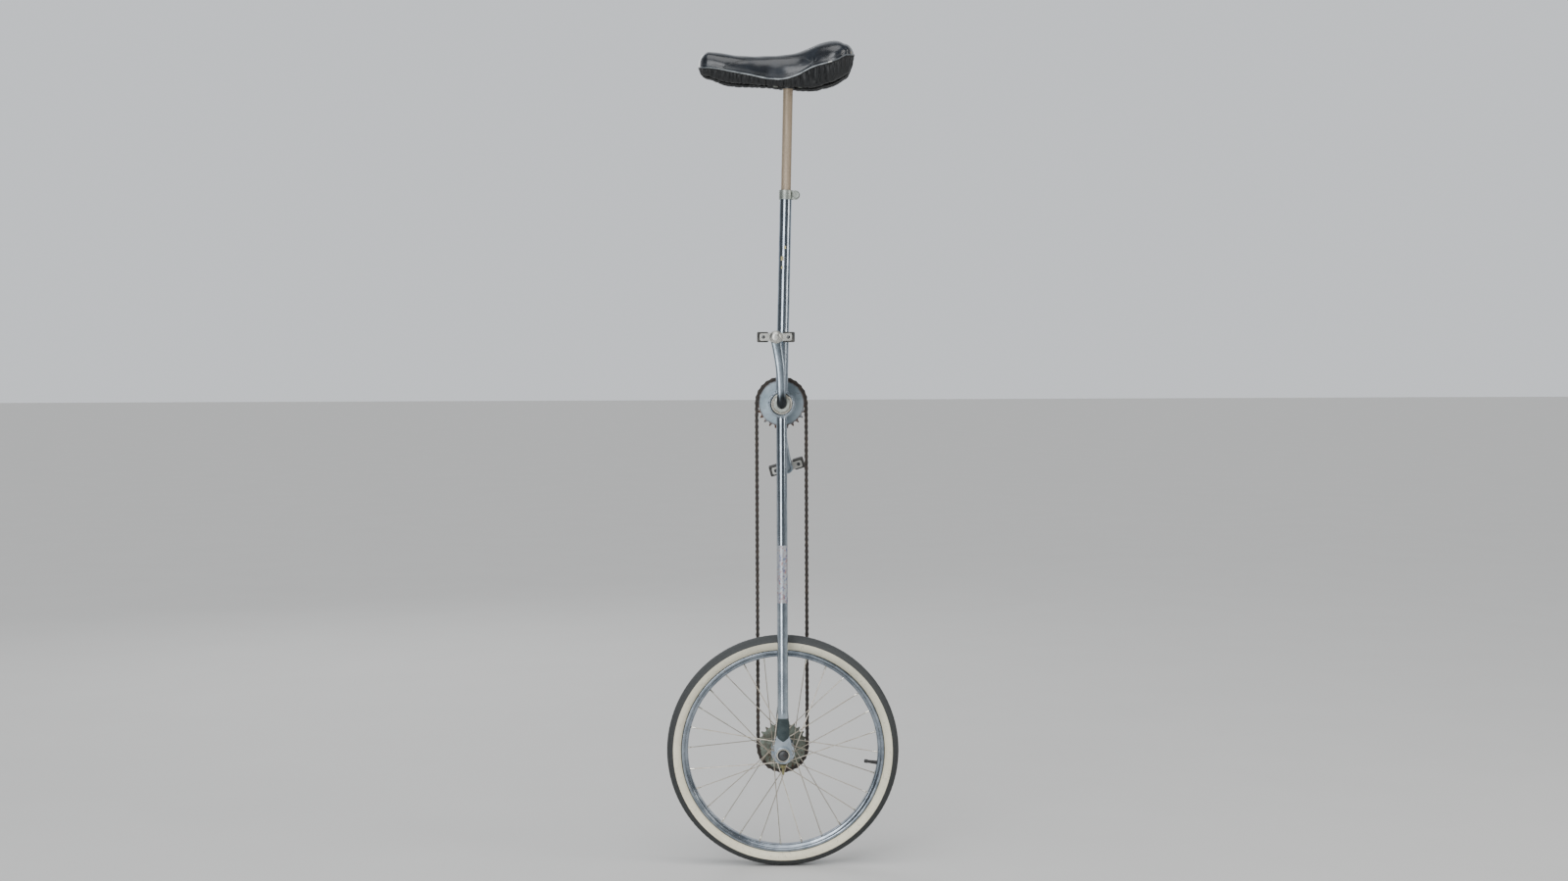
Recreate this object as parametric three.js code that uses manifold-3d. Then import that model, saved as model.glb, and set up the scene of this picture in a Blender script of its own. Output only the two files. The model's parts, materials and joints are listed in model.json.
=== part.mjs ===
// Tall chain-driven unicycle ("giraffe"), in millimetres, +Z up.
// Origin: the point where the tyre stands on the ground. +X is to the rear, so the saddle's
// nose points to -X; +Y is the rider's right, which is the chain side.

import * as THREE from 'three';
import { mergeVertices } from 'three/addons/utils/BufferGeometryUtils.js';
import Module from 'manifold-3d';

const wasm = await Module();
wasm.setup();

// ---------------------------------------------------------------- driving dimensions

const GAP = 0.3; // clearance between touching pieces
const DEG = Math.PI / 180;
const WHEEL_SIDES = 36; // flats round the tyre and rim
const ROUND_SIDES = 24; // flats round shafts, bores and tubes

const CHAIN_PITCH = 12.7;
const TEETH = 26;
const CENTRE_PITCHES = 58; // chain pitches between the wheel axle and the crank axis

const TYRE_R = 247;
const TYRE_HALF_WIDTH = 22;
const RIM_FLANGE_R = 215.4;
const RIM_INNER_R = 201.7;
const RIM_HALF_WIDTH = 15.5;

const SPOKES_PER_FLANGE = 14;
const SPOKE_CROSSINGS = 3;
const SPOKE_R = 1.05;
const SPOKE_HOLE_R = 21;
const FIRST_SPOKE_DEG = -1.6; // rim angle of the first spoke, from straight down towards +X
const SPOKE_HEAD_Y = 34.8;
const SPOKE_TIP_Y = 2.5;
const NIPPLE_R = 2;
const NIPPLE_LENGTH = 12;
const VALVE_R = 4;

const FLANGE_R = 24.6;
const FLANGE_Y = 30;
const CHAIN_Y = 42; // chain line, from the middle plane
const SPROCKET_HALF = 1.6;
const SPROCKET_SEAT_R = 17;

const HOLDER_Y = 60; // middle of each bearing holder
const HOLDER_R = 18;
const BEARING_R = 14;
const AXLE_R = 6;

const SHELL_R = 28;
const SHELL_HALF_LENGTH = 34;
const LEG_R = 11.1;
const LEG_TOP_Y = 23;
const LEG_FOOT_Y = 66;
const MAST_R = 12.7;
const MAST_BORE_R = 10.75;
const MAST_LENGTH = 447; // from the crank axis to the top of the mast
const MAST_RAKE = 1.4 * DEG; // the mast leans to the rear of the legs' line
const POST_R = 10.3;
const POST_INSERTION = 110;

const CRANK_LENGTH = 139.7;
const CRANK_TILT = 4.9 * DEG; // left arm up, leaning towards the nose
const SPINDLE_R = 10;
const ARM_INNER_Y = 50;
const ARM_THICKNESS = 12;
const PEDAL_EYE_R = 12.3;
const PEDAL_SPINDLE_R = 6.35;
const PEDAL_PITCH = { left: 0, right: -16 * DEG }; // how each pedal is turned at rest

const SADDLE_BASE_Z = 1645; // underside of the saddle over the post

// values that follow from the driving dimensions
const WHEEL_Z = TYRE_R * Math.cos(Math.PI / WHEEL_SIDES);
const BB_Z = WHEEL_Z + CENTRE_PITCHES * CHAIN_PITCH;
const PITCH_R = CHAIN_PITCH / (2 * Math.sin(Math.PI / TEETH));
const ARM_OUTER_Y = ARM_INNER_Y + ARM_THICKNESS;
const VALVE_ANGLE = (FIRST_SPOKE_DEG + (6.5 * 180) / SPOKES_PER_FLANGE) * DEG;
const SIDES = { left: -1, right: 1 };

// ---------------------------------------------------------------- solids

function signedVolume(geometry) {
  const p = geometry.attributes.position;
  const index = geometry.index;
  const [a, b, c] = [new THREE.Vector3(), new THREE.Vector3(), new THREE.Vector3()];
  let sum = 0;
  for (let i = 0; i < index.count; i += 3) {
    a.fromBufferAttribute(p, index.getX(i));
    b.fromBufferAttribute(p, index.getX(i + 1));
    c.fromBufferAttribute(p, index.getX(i + 2));
    sum += a.dot(b.cross(c));
  }
  return sum / 6;
}

// Shared vertices merged, thin triangles dropped and faces turned outwards.
function closed(geometry) {
  const bare = geometry.clone();
  bare.deleteAttribute('normal');
  bare.deleteAttribute('uv');
  const merged = mergeVertices(bare, 1e-4);
  const old = merged.index.array;
  const kept = [];
  for (let i = 0; i < old.length; i += 3) {
    const [a, b, c] = [old[i], old[i + 1], old[i + 2]];
    if (a !== b && b !== c && c !== a) kept.push(a, b, c);
  }
  merged.setIndex(kept);
  if (signedVolume(merged) < 0) {
    for (let i = 0; i < kept.length; i += 3) [kept[i], kept[i + 1]] = [kept[i + 1], kept[i]];
    merged.setIndex(kept);
  }
  return merged;
}

function solid(geometry) {
  const g = closed(geometry);
  return new wasm.Manifold(new wasm.Mesh({
    numProp: 3,
    vertProperties: new Float32Array(g.attributes.position.array),
    triVerts: new Uint32Array(g.index.array),
  }));
}

function geometryOf(manifold) {
  const mesh = manifold.getMesh();
  const geometry = new THREE.BufferGeometry();
  geometry.setAttribute('position', new THREE.BufferAttribute(mesh.vertProperties, 3));
  geometry.setIndex(new THREE.BufferAttribute(mesh.triVerts, 1));
  return geometry;
}

function union(...geometries) {
  return geometryOf(geometries.map(solid).reduce((sum, next) => sum.add(next)));
}

function cut(geometry, ...tools) {
  return geometryOf(tools.map(solid).reduce((rest, tool) => rest.subtract(tool), solid(geometry)));
}

function common(a, b) {
  return geometryOf(solid(a).intersect(solid(b)));
}

// A solid of revolution about Y. The profile is a list of [radius, y]; a profile that stays
// off the axis closes on itself.
function turned(profile, sides = ROUND_SIDES, phase = 0) {
  const points = profile.map(([r, y]) => new THREE.Vector2(r, y));
  if (profile[0][0] > 0) points.push(points[0].clone());
  return new THREE.LatheGeometry(points, sides, phase);
}

function ring(outer, inner, y0, y1, sides = ROUND_SIDES) {
  return turned([[inner, y0], [outer, y0], [outer, y1], [inner, y1]], sides);
}

function rod(radius, y0, y1, sides = ROUND_SIDES) {
  return turned([[0, y0], [radius, y0], [radius, y1], [0, y1]], sides);
}

// A rod from one point to another.
function rodBetween(from, to, radius, sides) {
  const length = from.distanceTo(to);
  const turn = new THREE.Quaternion().setFromUnitVectors(
    new THREE.Vector3(0, 1, 0), to.clone().sub(from).normalize());
  return rod(radius, 0, length, sides).applyQuaternion(turn).translate(from.x, from.y, from.z);
}

// A flat plate whose outline lies in the XZ plane, from y0 to y1.
function plate(shape, y0, y1, curveSegments = 8) {
  const geometry = new THREE.ExtrudeGeometry(shape, { depth: y1 - y0, bevelEnabled: false, curveSegments });
  return geometry.rotateX(Math.PI / 2).translate(0, y1, 0);
}

function outline(points) {
  return new THREE.Shape(points.map(([x, z]) => new THREE.Vector2(x, z)));
}

function hexagon(acrossFlats) {
  const r = acrossFlats / Math.sqrt(3);
  const corner = (i) => [r * Math.cos((i * 60 + 30) * DEG), r * Math.sin((i * 60 + 30) * DEG)];
  return outline([0, 1, 2, 3, 4, 5].map(corner));
}

function withHole(shape, x, z, radius) {
  const hole = new THREE.Path();
  hole.absarc(x, z, radius, 0, 2 * Math.PI, true);
  shape.holes.push(hole);
  return shape;
}

// A solid skinned over sections that all have the same number of points.
function loft(sections) {
  const count = sections[0].length;
  const rows = sections.flat();
  const middle = (s) => s.reduce((m, p) => m.add(p), new THREE.Vector3()).divideScalar(count);
  const positions = [...rows, middle(sections[0]), middle(sections.at(-1))].flatMap((p) => p.toArray());
  const index = [];
  const last = (sections.length - 1) * count;
  for (let j = 0; j < count; j += 1) {
    const k = (j + 1) % count;
    for (let row = 0; row < last; row += count) {
      index.push(row + j, row + k, row + count + j, row + k, row + count + k, row + count + j);
    }
    index.push(rows.length, k, j, rows.length + 1, last + j, last + k);
  }
  const geometry = new THREE.BufferGeometry();
  geometry.setAttribute('position', new THREE.Float32BufferAttribute(positions, 3));
  geometry.setIndex(index);
  return geometry;
}

// ---------------------------------------------------------------- materials

const metal = (color, roughness) => new THREE.MeshStandardMaterial({ color, roughness, metalness: 1 });
const dull = (color, roughness) => new THREE.MeshStandardMaterial({ color, roughness, metalness: 0 });

const MATERIALS = {
  chrome: () => metal(0xb4bfc8, 0.2),
  zinc: () => metal(0xaab0a6, 0.5),
  forged: () => metal(0x7d8790, 0.35),
  darkSteel: () => metal(0x3c4042, 0.5),
  brassy: () => metal(0x8c8350, 0.5),
  oxidised: () => metal(0xa08c74, 0.7),
  bearing: () => metal(0xc8ccd0, 0.2),
  chain: () => metal(0x3e3029, 0.7),
  rubber: () => dull(0x35383a, 0.85),
  tape: () => dull(0xb08a50, 0.8),
  pan: () => dull(0x1c1d1f, 0.6),
  foam: () => dull(0xcbb98a, 0.95),
  vinyl: () => dull(0x141619, 0.35),
};

function add(group, name, geometry, material) {
  const mesh = new THREE.Mesh(closed(geometry), MATERIALS[material]());
  mesh.name = name;
  group.add(mesh);
  return mesh;
}

const unicycle = new THREE.Group();

// ---------------------------------------------------------------- wheel

const wheel = new THREE.Group();
wheel.position.z = WHEEL_Z;
unicycle.add(wheel);

// Every ring of the wheel has a flat centred straight down.
const WHEEL_PHASE = Math.PI / WHEEL_SIDES;
const wheelRing = (profile) => turned(profile, WHEEL_SIDES, WHEEL_PHASE);
const mirrored = (half) => [...half, ...half.slice().reverse().map(([r, y]) => [r, -y])];

function makeTyre() {
  const outside = [[210, 12.7], [215.8, 12.7], [220.5, 18.8], [231.5, TYRE_HALF_WIDTH], [240.5, 18.5],
    [TYRE_R, 8.5]];
  const inside = [[210, -9.6], [215.8, -9.6], [223, -16], [233, -17], [241.5, -6]];
  return wheelRing([...mirrored(outside), ...mirrored(inside)]);
}

// A thin-walled tube whose hollow opens at the valve.
function makeInnerTube() {
  const outside = [[206.5, 4.5], [216, 8.8], [229, 16.5], [240, 5.5]];
  const inside = [[208.5, 3.2], [216.5, 6.6], [229, 14.4], [238, 4.8]];
  const valveHole = rodBetween(onWheel(VALVE_ANGLE, 204, 0), onWheel(VALVE_ANGLE, 212, 0), 1.5, 8);
  return cut(wheelRing(mirrored(outside)), wheelRing(mirrored(inside)), valveHole);
}

// A single wall bent into a well between two flanges, with a hole for the valve.
function makeRim() {
  const w = RIM_HALF_WIDTH;
  const seat = w - 2.4;
  const inward = [[RIM_FLANGE_R, seat], [RIM_FLANGE_R, w], [208, w + 0.6], [RIM_INNER_R, 6]];
  const outward = [[209.5, -seat], [RIM_INNER_R + 2, -5]];
  const valveHole = rodBetween(onWheel(VALVE_ANGLE, 198, 0), onWheel(VALVE_ANGLE, 208, 0), VALVE_R + 0.4, 12);
  return cut(wheelRing([...mirrored(inward), ...mirrored(outward)]), valveHole);
}

function makeRimStrip() {
  const valveHole = rodBetween(onWheel(VALVE_ANGLE, 200, 0), onWheel(VALVE_ANGLE, 208, 0), VALVE_R + 0.4, 12);
  return cut(wheelRing(mirrored([[204.1, 4.5], [204.9, 4.5]].reverse())), valveHole);
}

// A place on the wheel, at an angle from straight down towards +X.
function onWheel(angle, radius, y) {
  return new THREE.Vector3(radius * Math.sin(angle), y, -radius * Math.cos(angle));
}

// The spokes of one flange cross each other three times, and touch there.
function makeSpokes(side) {
  const step = 360 / SPOKES_PER_FLANGE;
  const sweep = SPOKE_CROSSINGS * step;
  const spokes = [];
  for (let i = 0; i < SPOKES_PER_FLANGE; i += 1) {
    const rimDeg = FIRST_SPOKE_DEG + step * (i + (side > 0 ? 0.5 : 0));
    const holeDeg = rimDeg + (i % 2 ? sweep : -sweep);
    const head = onWheel(holeDeg * DEG, SPOKE_HOLE_R, side * SPOKE_HEAD_Y);
    const tip = onWheel(rimDeg * DEG, RIM_INNER_R - 2 * GAP - 0.6, side * SPOKE_TIP_Y);
    const inward = head.clone().sub(tip).setLength(NIPPLE_LENGTH);
    spokes.push(rodBetween(head, tip, SPOKE_R, 4));
    spokes.push(rodBetween(tip, tip.clone().add(inward), NIPPLE_R, 4));
  }
  return union(...spokes);
}

function makeHubShell() {
  const flange = (y) => [[FLANGE_R, y - 1.2], [FLANGE_R, y + 1.2]];
  const profile = [[AXLE_R + GAP, -37], [12, -37], [12, -31.2], ...flange(-FLANGE_Y), [14, -28.8], [12.5, -10],
    [12.5, 10], [14, 28.8], ...flange(FLANGE_Y), [SPROCKET_SEAT_R, 31.2], [SPROCKET_SEAT_R, 47],
    [AXLE_R + GAP, 47]];
  return turned(profile);
}

// Tooth gaps sit at multiples of the tooth angle, so a roller rests at angle zero.
function makeSprocket(boreR) {
  const tooth = 2 * Math.PI / TEETH;
  const root = PITCH_R - 4.1;
  const tip = PITCH_R + 3;
  const steps = [[root, -0.12], [root, 0.12], [PITCH_R - 0.6, 0.31], [tip, 0.44], [tip, 0.56], [PITCH_R - 0.6, 0.69]];
  const points = [];
  for (let i = 0; i < TEETH; i += 1) {
    for (const [r, part] of steps) {
      const angle = (i + part) * tooth;
      points.push([r * Math.cos(angle), r * Math.sin(angle)]);
    }
  }
  return plate(withHole(outline(points), 0, 0, boreR), CHAIN_Y - SPROCKET_HALF, CHAIN_Y + SPROCKET_HALF);
}

add(wheel, 'tyre', makeTyre(), 'rubber');
add(wheel, 'inner_tube', makeInnerTube(), 'rubber');
add(wheel, 'rim', makeRim(), 'chrome');
add(wheel, 'rim_strip', makeRimStrip(), 'tape');
add(wheel, 'valve_stem',
  rodBetween(onWheel(VALVE_ANGLE, 205.2, 0), onWheel(VALVE_ANGLE, 175, 0), VALVE_R, 10), 'rubber');
add(wheel, 'spokes_left', makeSpokes(SIDES.left), 'zinc');
add(wheel, 'spokes_right', makeSpokes(SIDES.right), 'zinc');
add(wheel, 'hub_shell', makeHubShell(), 'chrome');
add(wheel, 'axle', rod(AXLE_R, -70, 70, 16), 'darkSteel');
add(wheel, 'lower_sprocket', makeSprocket(SPROCKET_SEAT_R + GAP + 0.2), 'forged');
add(wheel, 'sprocket_lock_ring',
  ring(23, SPROCKET_SEAT_R + GAP + 0.2, CHAIN_Y + SPROCKET_HALF + GAP, CHAIN_Y + SPROCKET_HALF + 3), 'zinc');

// Domed nuts close the ends of the axle, outside the bearings.
function makeAxleNut() {
  const inner = HOLDER_Y + 4 + GAP;
  return turned([[AXLE_R + GAP, inner], [11.4, inner], [11.4, inner + 5], [9.6, inner + 7.4],
    [0, inner + 8.2], [0, 70 + GAP], [AXLE_R + GAP, 70 + GAP]]);
}

for (const [name, side] of Object.entries(SIDES)) {
  add(wheel, `${name}_axle_nut`, makeAxleNut().rotateZ(side < 0 ? Math.PI : 0), 'darkSteel');
}

// ---------------------------------------------------------------- bearing holders

// A pressed cup round the bearing, with a tab that the leg's foot is riveted to.
function makeBearingHolder() {
  const w = HOLDER_R - 0.1;
  const tab = outline([[-w, 0], [w, 0], [w, 22], [13, 44], [-13, 44], [-w, 22]]);
  const cup = rod(HOLDER_R, HOLDER_Y - 7, HOLDER_Y + 7);
  const back = plate(tab, HOLDER_Y - 2.5, HOLDER_Y + 2.5);
  return cut(union(cup, back), rod(BEARING_R + GAP + 0.1, HOLDER_Y - 10, HOLDER_Y + 10));
}

// The bolt that hangs below each holder: shank, nut and rounded end.
function makeHolderBolt() {
  const shank = rod(3, -41, -HOLDER_R - GAP, 12);
  const nut = plate(hexagon(11), -HOLDER_R - 8, -HOLDER_R - 3);
  return union(shank, nut).rotateX(Math.PI / 2);
}

const holders = new THREE.Group();
holders.position.z = WHEEL_Z;
unicycle.add(holders);
for (const [name, side] of Object.entries(SIDES)) {
  const turn = side < 0 ? Math.PI : 0;
  add(holders, `${name}_bearing_holder`, makeBearingHolder().rotateZ(turn), 'zinc');
  add(holders, `${name}_wheel_bearing`,
    ring(BEARING_R, AXLE_R + GAP + 0.1, HOLDER_Y - 4, HOLDER_Y + 4).rotateZ(turn), 'bearing');
  const bolt = add(holders, `${name}_holder_bolt`, makeHolderBolt(), 'brassy');
  bolt.position.y = side * HOLDER_Y;
}

// ---------------------------------------------------------------- frame tubes

const shellCutter = rod(SHELL_R + GAP, -60, 60, 32).translate(0, 0, BB_Z);

// Each leg runs from under the crank shell to its holder, where its foot is pressed flat and
// ends in a point.
function legSection(side, z, halfWidth, halfDepth) {
  const foot = WHEEL_Z + 84;
  const share = Math.max(0, (z - foot) / (BB_Z - SHELL_R - foot));
  const y = side * THREE.MathUtils.lerp(LEG_FOOT_Y, LEG_TOP_Y, share);
  const point = (i) => {
    const angle = (i / 20) * 2 * Math.PI;
    return new THREE.Vector3(halfWidth * Math.cos(angle), y + halfDepth * Math.sin(angle), z);
  };
  return Array.from({ length: 20 }, (_, i) => point(i));
}

function makeLeg(side) {
  const foot = [[30, 3, 2.2], [38, 12, 2.6], [50, 13.6, 2.7], [66, 13, 4.6], [84, LEG_R, LEG_R]];
  const outer = foot.map(([up, w, d]) => legSection(side, WHEEL_Z + up, w, d));
  outer.push(legSection(side, BB_Z, LEG_R, LEG_R));
  const bore = LEG_R - 1.6;
  const inner = [legSection(side, WHEEL_Z + 90, bore, bore), legSection(side, BB_Z + 1, bore, bore)];
  return cut(loft(outer), loft(inner), shellCutter);
}

add(unicycle, 'bb_shell',
  ring(SHELL_R, 25.7, -SHELL_HALF_LENGTH, SHELL_HALF_LENGTH, 32).translate(0, 0, BB_Z), 'chrome');
add(unicycle, 'left_leg', makeLeg(SIDES.left), 'chrome');
add(unicycle, 'right_leg', makeLeg(SIDES.right), 'chrome');

// The mast, the collar and the post share one axis, which leans to the rear about the crank
// axis. Inside this group +Z runs along that axis.
const mast = new THREE.Group();
mast.position.z = BB_Z;
mast.rotation.y = MAST_RAKE;
unicycle.add(mast);

const upright = (geometry) => geometry.rotateX(Math.PI / 2);
const tube = (outer, inner, z0, z1) => upright(ring(outer, inner, z0, z1));

function makeMast() {
  const slot = new THREE.BoxGeometry(14, 2.6, 80).translate(MAST_R, 0, MAST_LENGTH);
  return cut(tube(MAST_R, MAST_BORE_R, 10, MAST_LENGTH), rod(SHELL_R + GAP, -60, 60, 32), slot);
}

const COLLAR_HEIGHT = 19.5;
const COLLAR_BORE_R = MAST_R + 0.35;
const COLLAR_R = COLLAR_BORE_R + 1.3;
const COLLAR_BOLT_X = 20.2;
const COLLAR_Z = MAST_LENGTH - COLLAR_HEIGHT / 2 + 1;

// A band round the top of the mast, split at the rear between two rounded ears.
function makeSeatCollar() {
  const band = tube(COLLAR_R, COLLAR_BORE_R, COLLAR_Z - COLLAR_HEIGHT / 2, COLLAR_Z + COLLAR_HEIGHT / 2);
  const split = new THREE.BoxGeometry(12, 3, 40).translate(COLLAR_R, 0, COLLAR_Z);
  const ear = new THREE.Shape();
  ear.moveTo(COLLAR_BORE_R + 0.6, -9.5);
  ear.lineTo(COLLAR_BOLT_X, -9.5);
  ear.absarc(COLLAR_BOLT_X, 0, 9.5, -Math.PI / 2, Math.PI / 2, false);
  ear.lineTo(COLLAR_BORE_R + 0.6, 9.5);
  ear.closePath();
  const ears = [-5.1, 1.5].map((y) => plate(ear, y, y + 3.6).translate(0, 0, COLLAR_Z));
  const boltHole = rod(3.4, -20, 20, 12).translate(COLLAR_BOLT_X, 0, COLLAR_Z);
  return cut(union(cut(band, split), ...ears), boltHole);
}

// A bolt along Y with its head on the left and its nut on the right.
function makeCollarBolt() {
  const head = plate(hexagon(13), -5.1 - GAP - 5, -5.1 - GAP);
  return union(head, rod(3, -6, 12, 12)).translate(COLLAR_BOLT_X, 0, COLLAR_Z);
}

function makeCollarNut() {
  return plate(withHole(hexagon(13), 0, 0, 3.4), 5.1 + GAP, 5.1 + GAP + 5).translate(COLLAR_BOLT_X, 0, COLLAR_Z);
}

const POST_TOP = SADDLE_BASE_Z - BB_Z + 5.5;
add(mast, 'mast', makeMast(), 'chrome');
add(mast, 'seat_collar', makeSeatCollar(), 'zinc');
add(mast, 'collar_bolt', makeCollarBolt(), 'zinc');
add(mast, 'collar_nut', makeCollarNut(), 'zinc');
add(mast, 'seat_post', tube(POST_R, POST_R - 1.6, MAST_LENGTH - POST_INSERTION, POST_TOP), 'oxidised');

// ---------------------------------------------------------------- bottom bracket and crank

const SHIELD_R = 21.8;
const CUP_FACE = SHELL_HALF_LENGTH + GAP;

function makeCup() {
  return turned([[25.3, 22], [25.3, CUP_FACE], [26.9, CUP_FACE], [26.9, 38], [23.4, 38], [23.4, 33],
    [21.5, 29], [19, 27], [19, 22]]);
}

// The balls of each bearing stand in one closed ring.
function makeBalls() {
  const [middle, r] = [16.9, 2.7];
  const corner = (i) => [middle + r * Math.cos(i * 60 * DEG), 31.4 + r * Math.sin(i * 60 * DEG)];
  return turned([0, 1, 2, 3, 4, 5].map(corner));
}

// A cone on the spindle, with a shield that closes the cup.
function makeCone(end) {
  const bore = SPINDLE_R + 0.4;
  return turned([[bore, 25], [13.3, 25], [13.3, 36.4], [SHIELD_R, 36.4], [SHIELD_R, 38.6], [15, 38.6],
    [15, end], [bore, end]]);
}

const bracket = new THREE.Group();
bracket.position.z = BB_Z;
unicycle.add(bracket);
for (const [name, side] of Object.entries(SIDES)) {
  const turn = side < 0 ? Math.PI : 0;
  add(bracket, `bb_cup_${name}`, makeCup().rotateZ(turn), 'chrome');
  add(bracket, `bb_balls_${name}`, makeBalls().rotateZ(turn), 'bearing');
}

const DRIVE_PIN_R = 4;
const DRIVE_PIN_DROP = 24;

const crank = new THREE.Group();
crank.position.z = BB_Z;
crank.rotation.y = -CRANK_TILT;
unicycle.add(crank);

// One arm, pointing up, from the elbow at the spindle to the eye that takes the pedal.
function makeArm() {
  const arm = new THREE.Shape();
  arm.absarc(0, 0, 11, Math.PI, 2 * Math.PI, false);
  arm.lineTo(8.7, 16);
  arm.lineTo(9.4, 60);
  arm.lineTo(10.2, CRANK_LENGTH - 16);
  arm.absarc(0, CRANK_LENGTH, PEDAL_EYE_R, -0.3, Math.PI + 0.3, false);
  arm.lineTo(-10.2, CRANK_LENGTH - 16);
  arm.lineTo(-9.4, 60);
  arm.lineTo(-8.7, 16);
  arm.closePath();
  return plate(withHole(arm, 0, CRANK_LENGTH, PEDAL_SPINDLE_R + 0.4), ARM_INNER_Y, ARM_OUTER_Y);
}

// Forged from one bar: spindle and both arms, with a pin on the right arm that drives the
// sprocket.
function makeCrank() {
  const end = ARM_INNER_Y + 6;
  const pin = rod(DRIVE_PIN_R, CHAIN_Y - SPROCKET_HALF, ARM_INNER_Y + 2, 12).translate(0, 0, -DRIVE_PIN_DROP);
  return union(rod(SPINDLE_R, -end, end), makeArm().rotateZ(Math.PI), makeArm().rotateY(Math.PI), pin);
}

function makeUpperSprocket() {
  const pinHole = rod(DRIVE_PIN_R + 0.4, 0, 2 * CHAIN_Y, 12).translate(0, 0, -DRIVE_PIN_DROP);
  return cut(makeSprocket(SPINDLE_R + 0.4).rotateY(CRANK_TILT), pinHole);
}

add(crank, 'crank', makeCrank(), 'forged');
add(crank, 'upper_sprocket', makeUpperSprocket(), 'forged');
add(crank, 'fixed_cone', makeCone(CHAIN_Y - SPROCKET_HALF - GAP), 'bearing');
add(crank, 'adjustable_cone', makeCone(38.6).rotateZ(Math.PI), 'bearing');
add(crank, 'keyed_washer', ring(15, SPINDLE_R + 0.4, 39, 40.2).rotateZ(Math.PI), 'zinc');
add(crank, 'lock_nut', plate(withHole(hexagon(32), 0, 0, SPINDLE_R + 0.4), -46.4, -40.5), 'zinc');

// ---------------------------------------------------------------- pedals

const PEDAL_INNER_Y = 70;
const PEDAL_OUTER_Y = 140;
const END_PLATE = 2.2;
const EAR_HALF_LENGTH = 33;
const EAR_HALF_HEIGHT = 7.6;
const BOSS_R = 12.4;
const BLOCK_X = [15.5, 38.5];
const BLOCK_HALF_HEIGHT = 10.5;
const TIE_X = 25.5;
const TIE_R = 2.3;
const TIE_HOLE_R = TIE_R + 0.4;

function makePedalSpindle() {
  return turned([[0, ARM_INNER_Y], [PEDAL_SPINDLE_R, ARM_INNER_Y], [PEDAL_SPINDLE_R, ARM_OUTER_Y + GAP],
    [9.5, ARM_OUTER_Y + GAP], [9.5, 66.5], [6.2, 66.5], [6.2, 74], [4.6, 138], [0, 138]], 16);
}

// A rounded bar with a round middle, bored for the spindle and for the two tie rods.
function makeEndPlate(y, boreR) {
  const r = 4;
  const [w, h] = [EAR_HALF_LENGTH, EAR_HALF_HEIGHT];
  const shape = new THREE.Shape();
  shape.moveTo(-w + r, -h);
  shape.lineTo(w - r, -h);
  shape.absarc(w - r, -h + r, r, -Math.PI / 2, 0, false);
  shape.lineTo(w, h - r);
  shape.absarc(w - r, h - r, r, 0, Math.PI / 2, false);
  shape.lineTo(-w + r, h);
  shape.absarc(-w + r, h - r, r, Math.PI / 2, Math.PI, false);
  shape.lineTo(-w, -h + r);
  shape.absarc(-w + r, -h + r, r, Math.PI, 1.5 * Math.PI, false);
  const bar = plate(shape, y, y + END_PLATE, 4);
  const hole = (x, radius, sides) => rod(radius, y - 5, y + 10, sides).translate(x, 0, 0);
  return cut(union(bar, rod(BOSS_R, y, y + END_PLATE)), hole(0, boreR), hole(TIE_X, TIE_HOLE_R, 12),
    hole(-TIE_X, TIE_HOLE_R, 12));
}

// A rubber block between the end plates, bored for its tie rod.
function makeBlock(end) {
  const [x0, x1] = BLOCK_X;
  const h = BLOCK_HALF_HEIGHT;
  const c = 2.5;
  const section = [[x0 + c, -h], [x1 - c, -h], [x1, c - h], [x1, h - c], [x1 - c, h], [x0 + c, h], [x0, h - c],
    [x0, c - h]];
  const points = section.map(([x, z]) => [end * x, z]);
  const block = plate(outline(points), PEDAL_INNER_Y + END_PLATE + GAP, PEDAL_OUTER_Y - GAP);
  return cut(block, rod(TIE_HOLE_R, 0, 200, 12).translate(end * TIE_X, 0, 0));
}

// The outer end plate with two rods riveted to it. Each rod runs through a block and the inner
// plate, and ends in a nut.
function makeOuterPlate() {
  const rods = [-TIE_X, TIE_X].map((x) => union(
    rod(TIE_R, PEDAL_INNER_Y - 2, PEDAL_OUTER_Y + 1, 12),
    plate(hexagon(7), PEDAL_INNER_Y - GAP - 2.4, PEDAL_INNER_Y - GAP),
    rod(3.6, PEDAL_OUTER_Y + 0.4, PEDAL_OUTER_Y + END_PLATE + 1.8, 12),
  ).translate(x, 0, 0));
  return union(makeEndPlate(PEDAL_OUTER_Y, 5), ...rods);
}

function addPedal(name, side) {
  const place = new THREE.Group();
  const reach = side * CRANK_LENGTH;
  place.position.set(reach * Math.sin(CRANK_TILT), 0, BB_Z - reach * Math.cos(CRANK_TILT));
  place.rotation.set(0, PEDAL_PITCH[name], side < 0 ? Math.PI : 0);
  unicycle.add(place);
  add(place, `${name}_pedal_spindle`, makePedalSpindle(), 'forged');
  add(place, `${name}_pedal_barrel`,
    ring(8, 6.6, PEDAL_INNER_Y - 0.8, PEDAL_OUTER_Y - GAP, 16), 'zinc');
  add(place, `${name}_pedal_inner_plate`, makeEndPlate(PEDAL_INNER_Y, 9), 'zinc');
  add(place, `${name}_pedal_outer_plate`, makeOuterPlate(), 'zinc');
  add(place, `${name}_pedal_front_block`, makeBlock(side * -1), 'rubber');
  add(place, `${name}_pedal_rear_block`, makeBlock(side), 'rubber');
  const cap = PEDAL_OUTER_Y + END_PLATE + GAP;
  add(place, `${name}_pedal_dust_cap`,
    turned([[0, cap], [13.2, cap], [13.2, cap + 3], [9.5, cap + 7], [0, cap + 8.4]]), 'zinc');
}

addPedal('left', SIDES.left);
addPedal('right', SIDES.right);

// ---------------------------------------------------------------- chain

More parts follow.
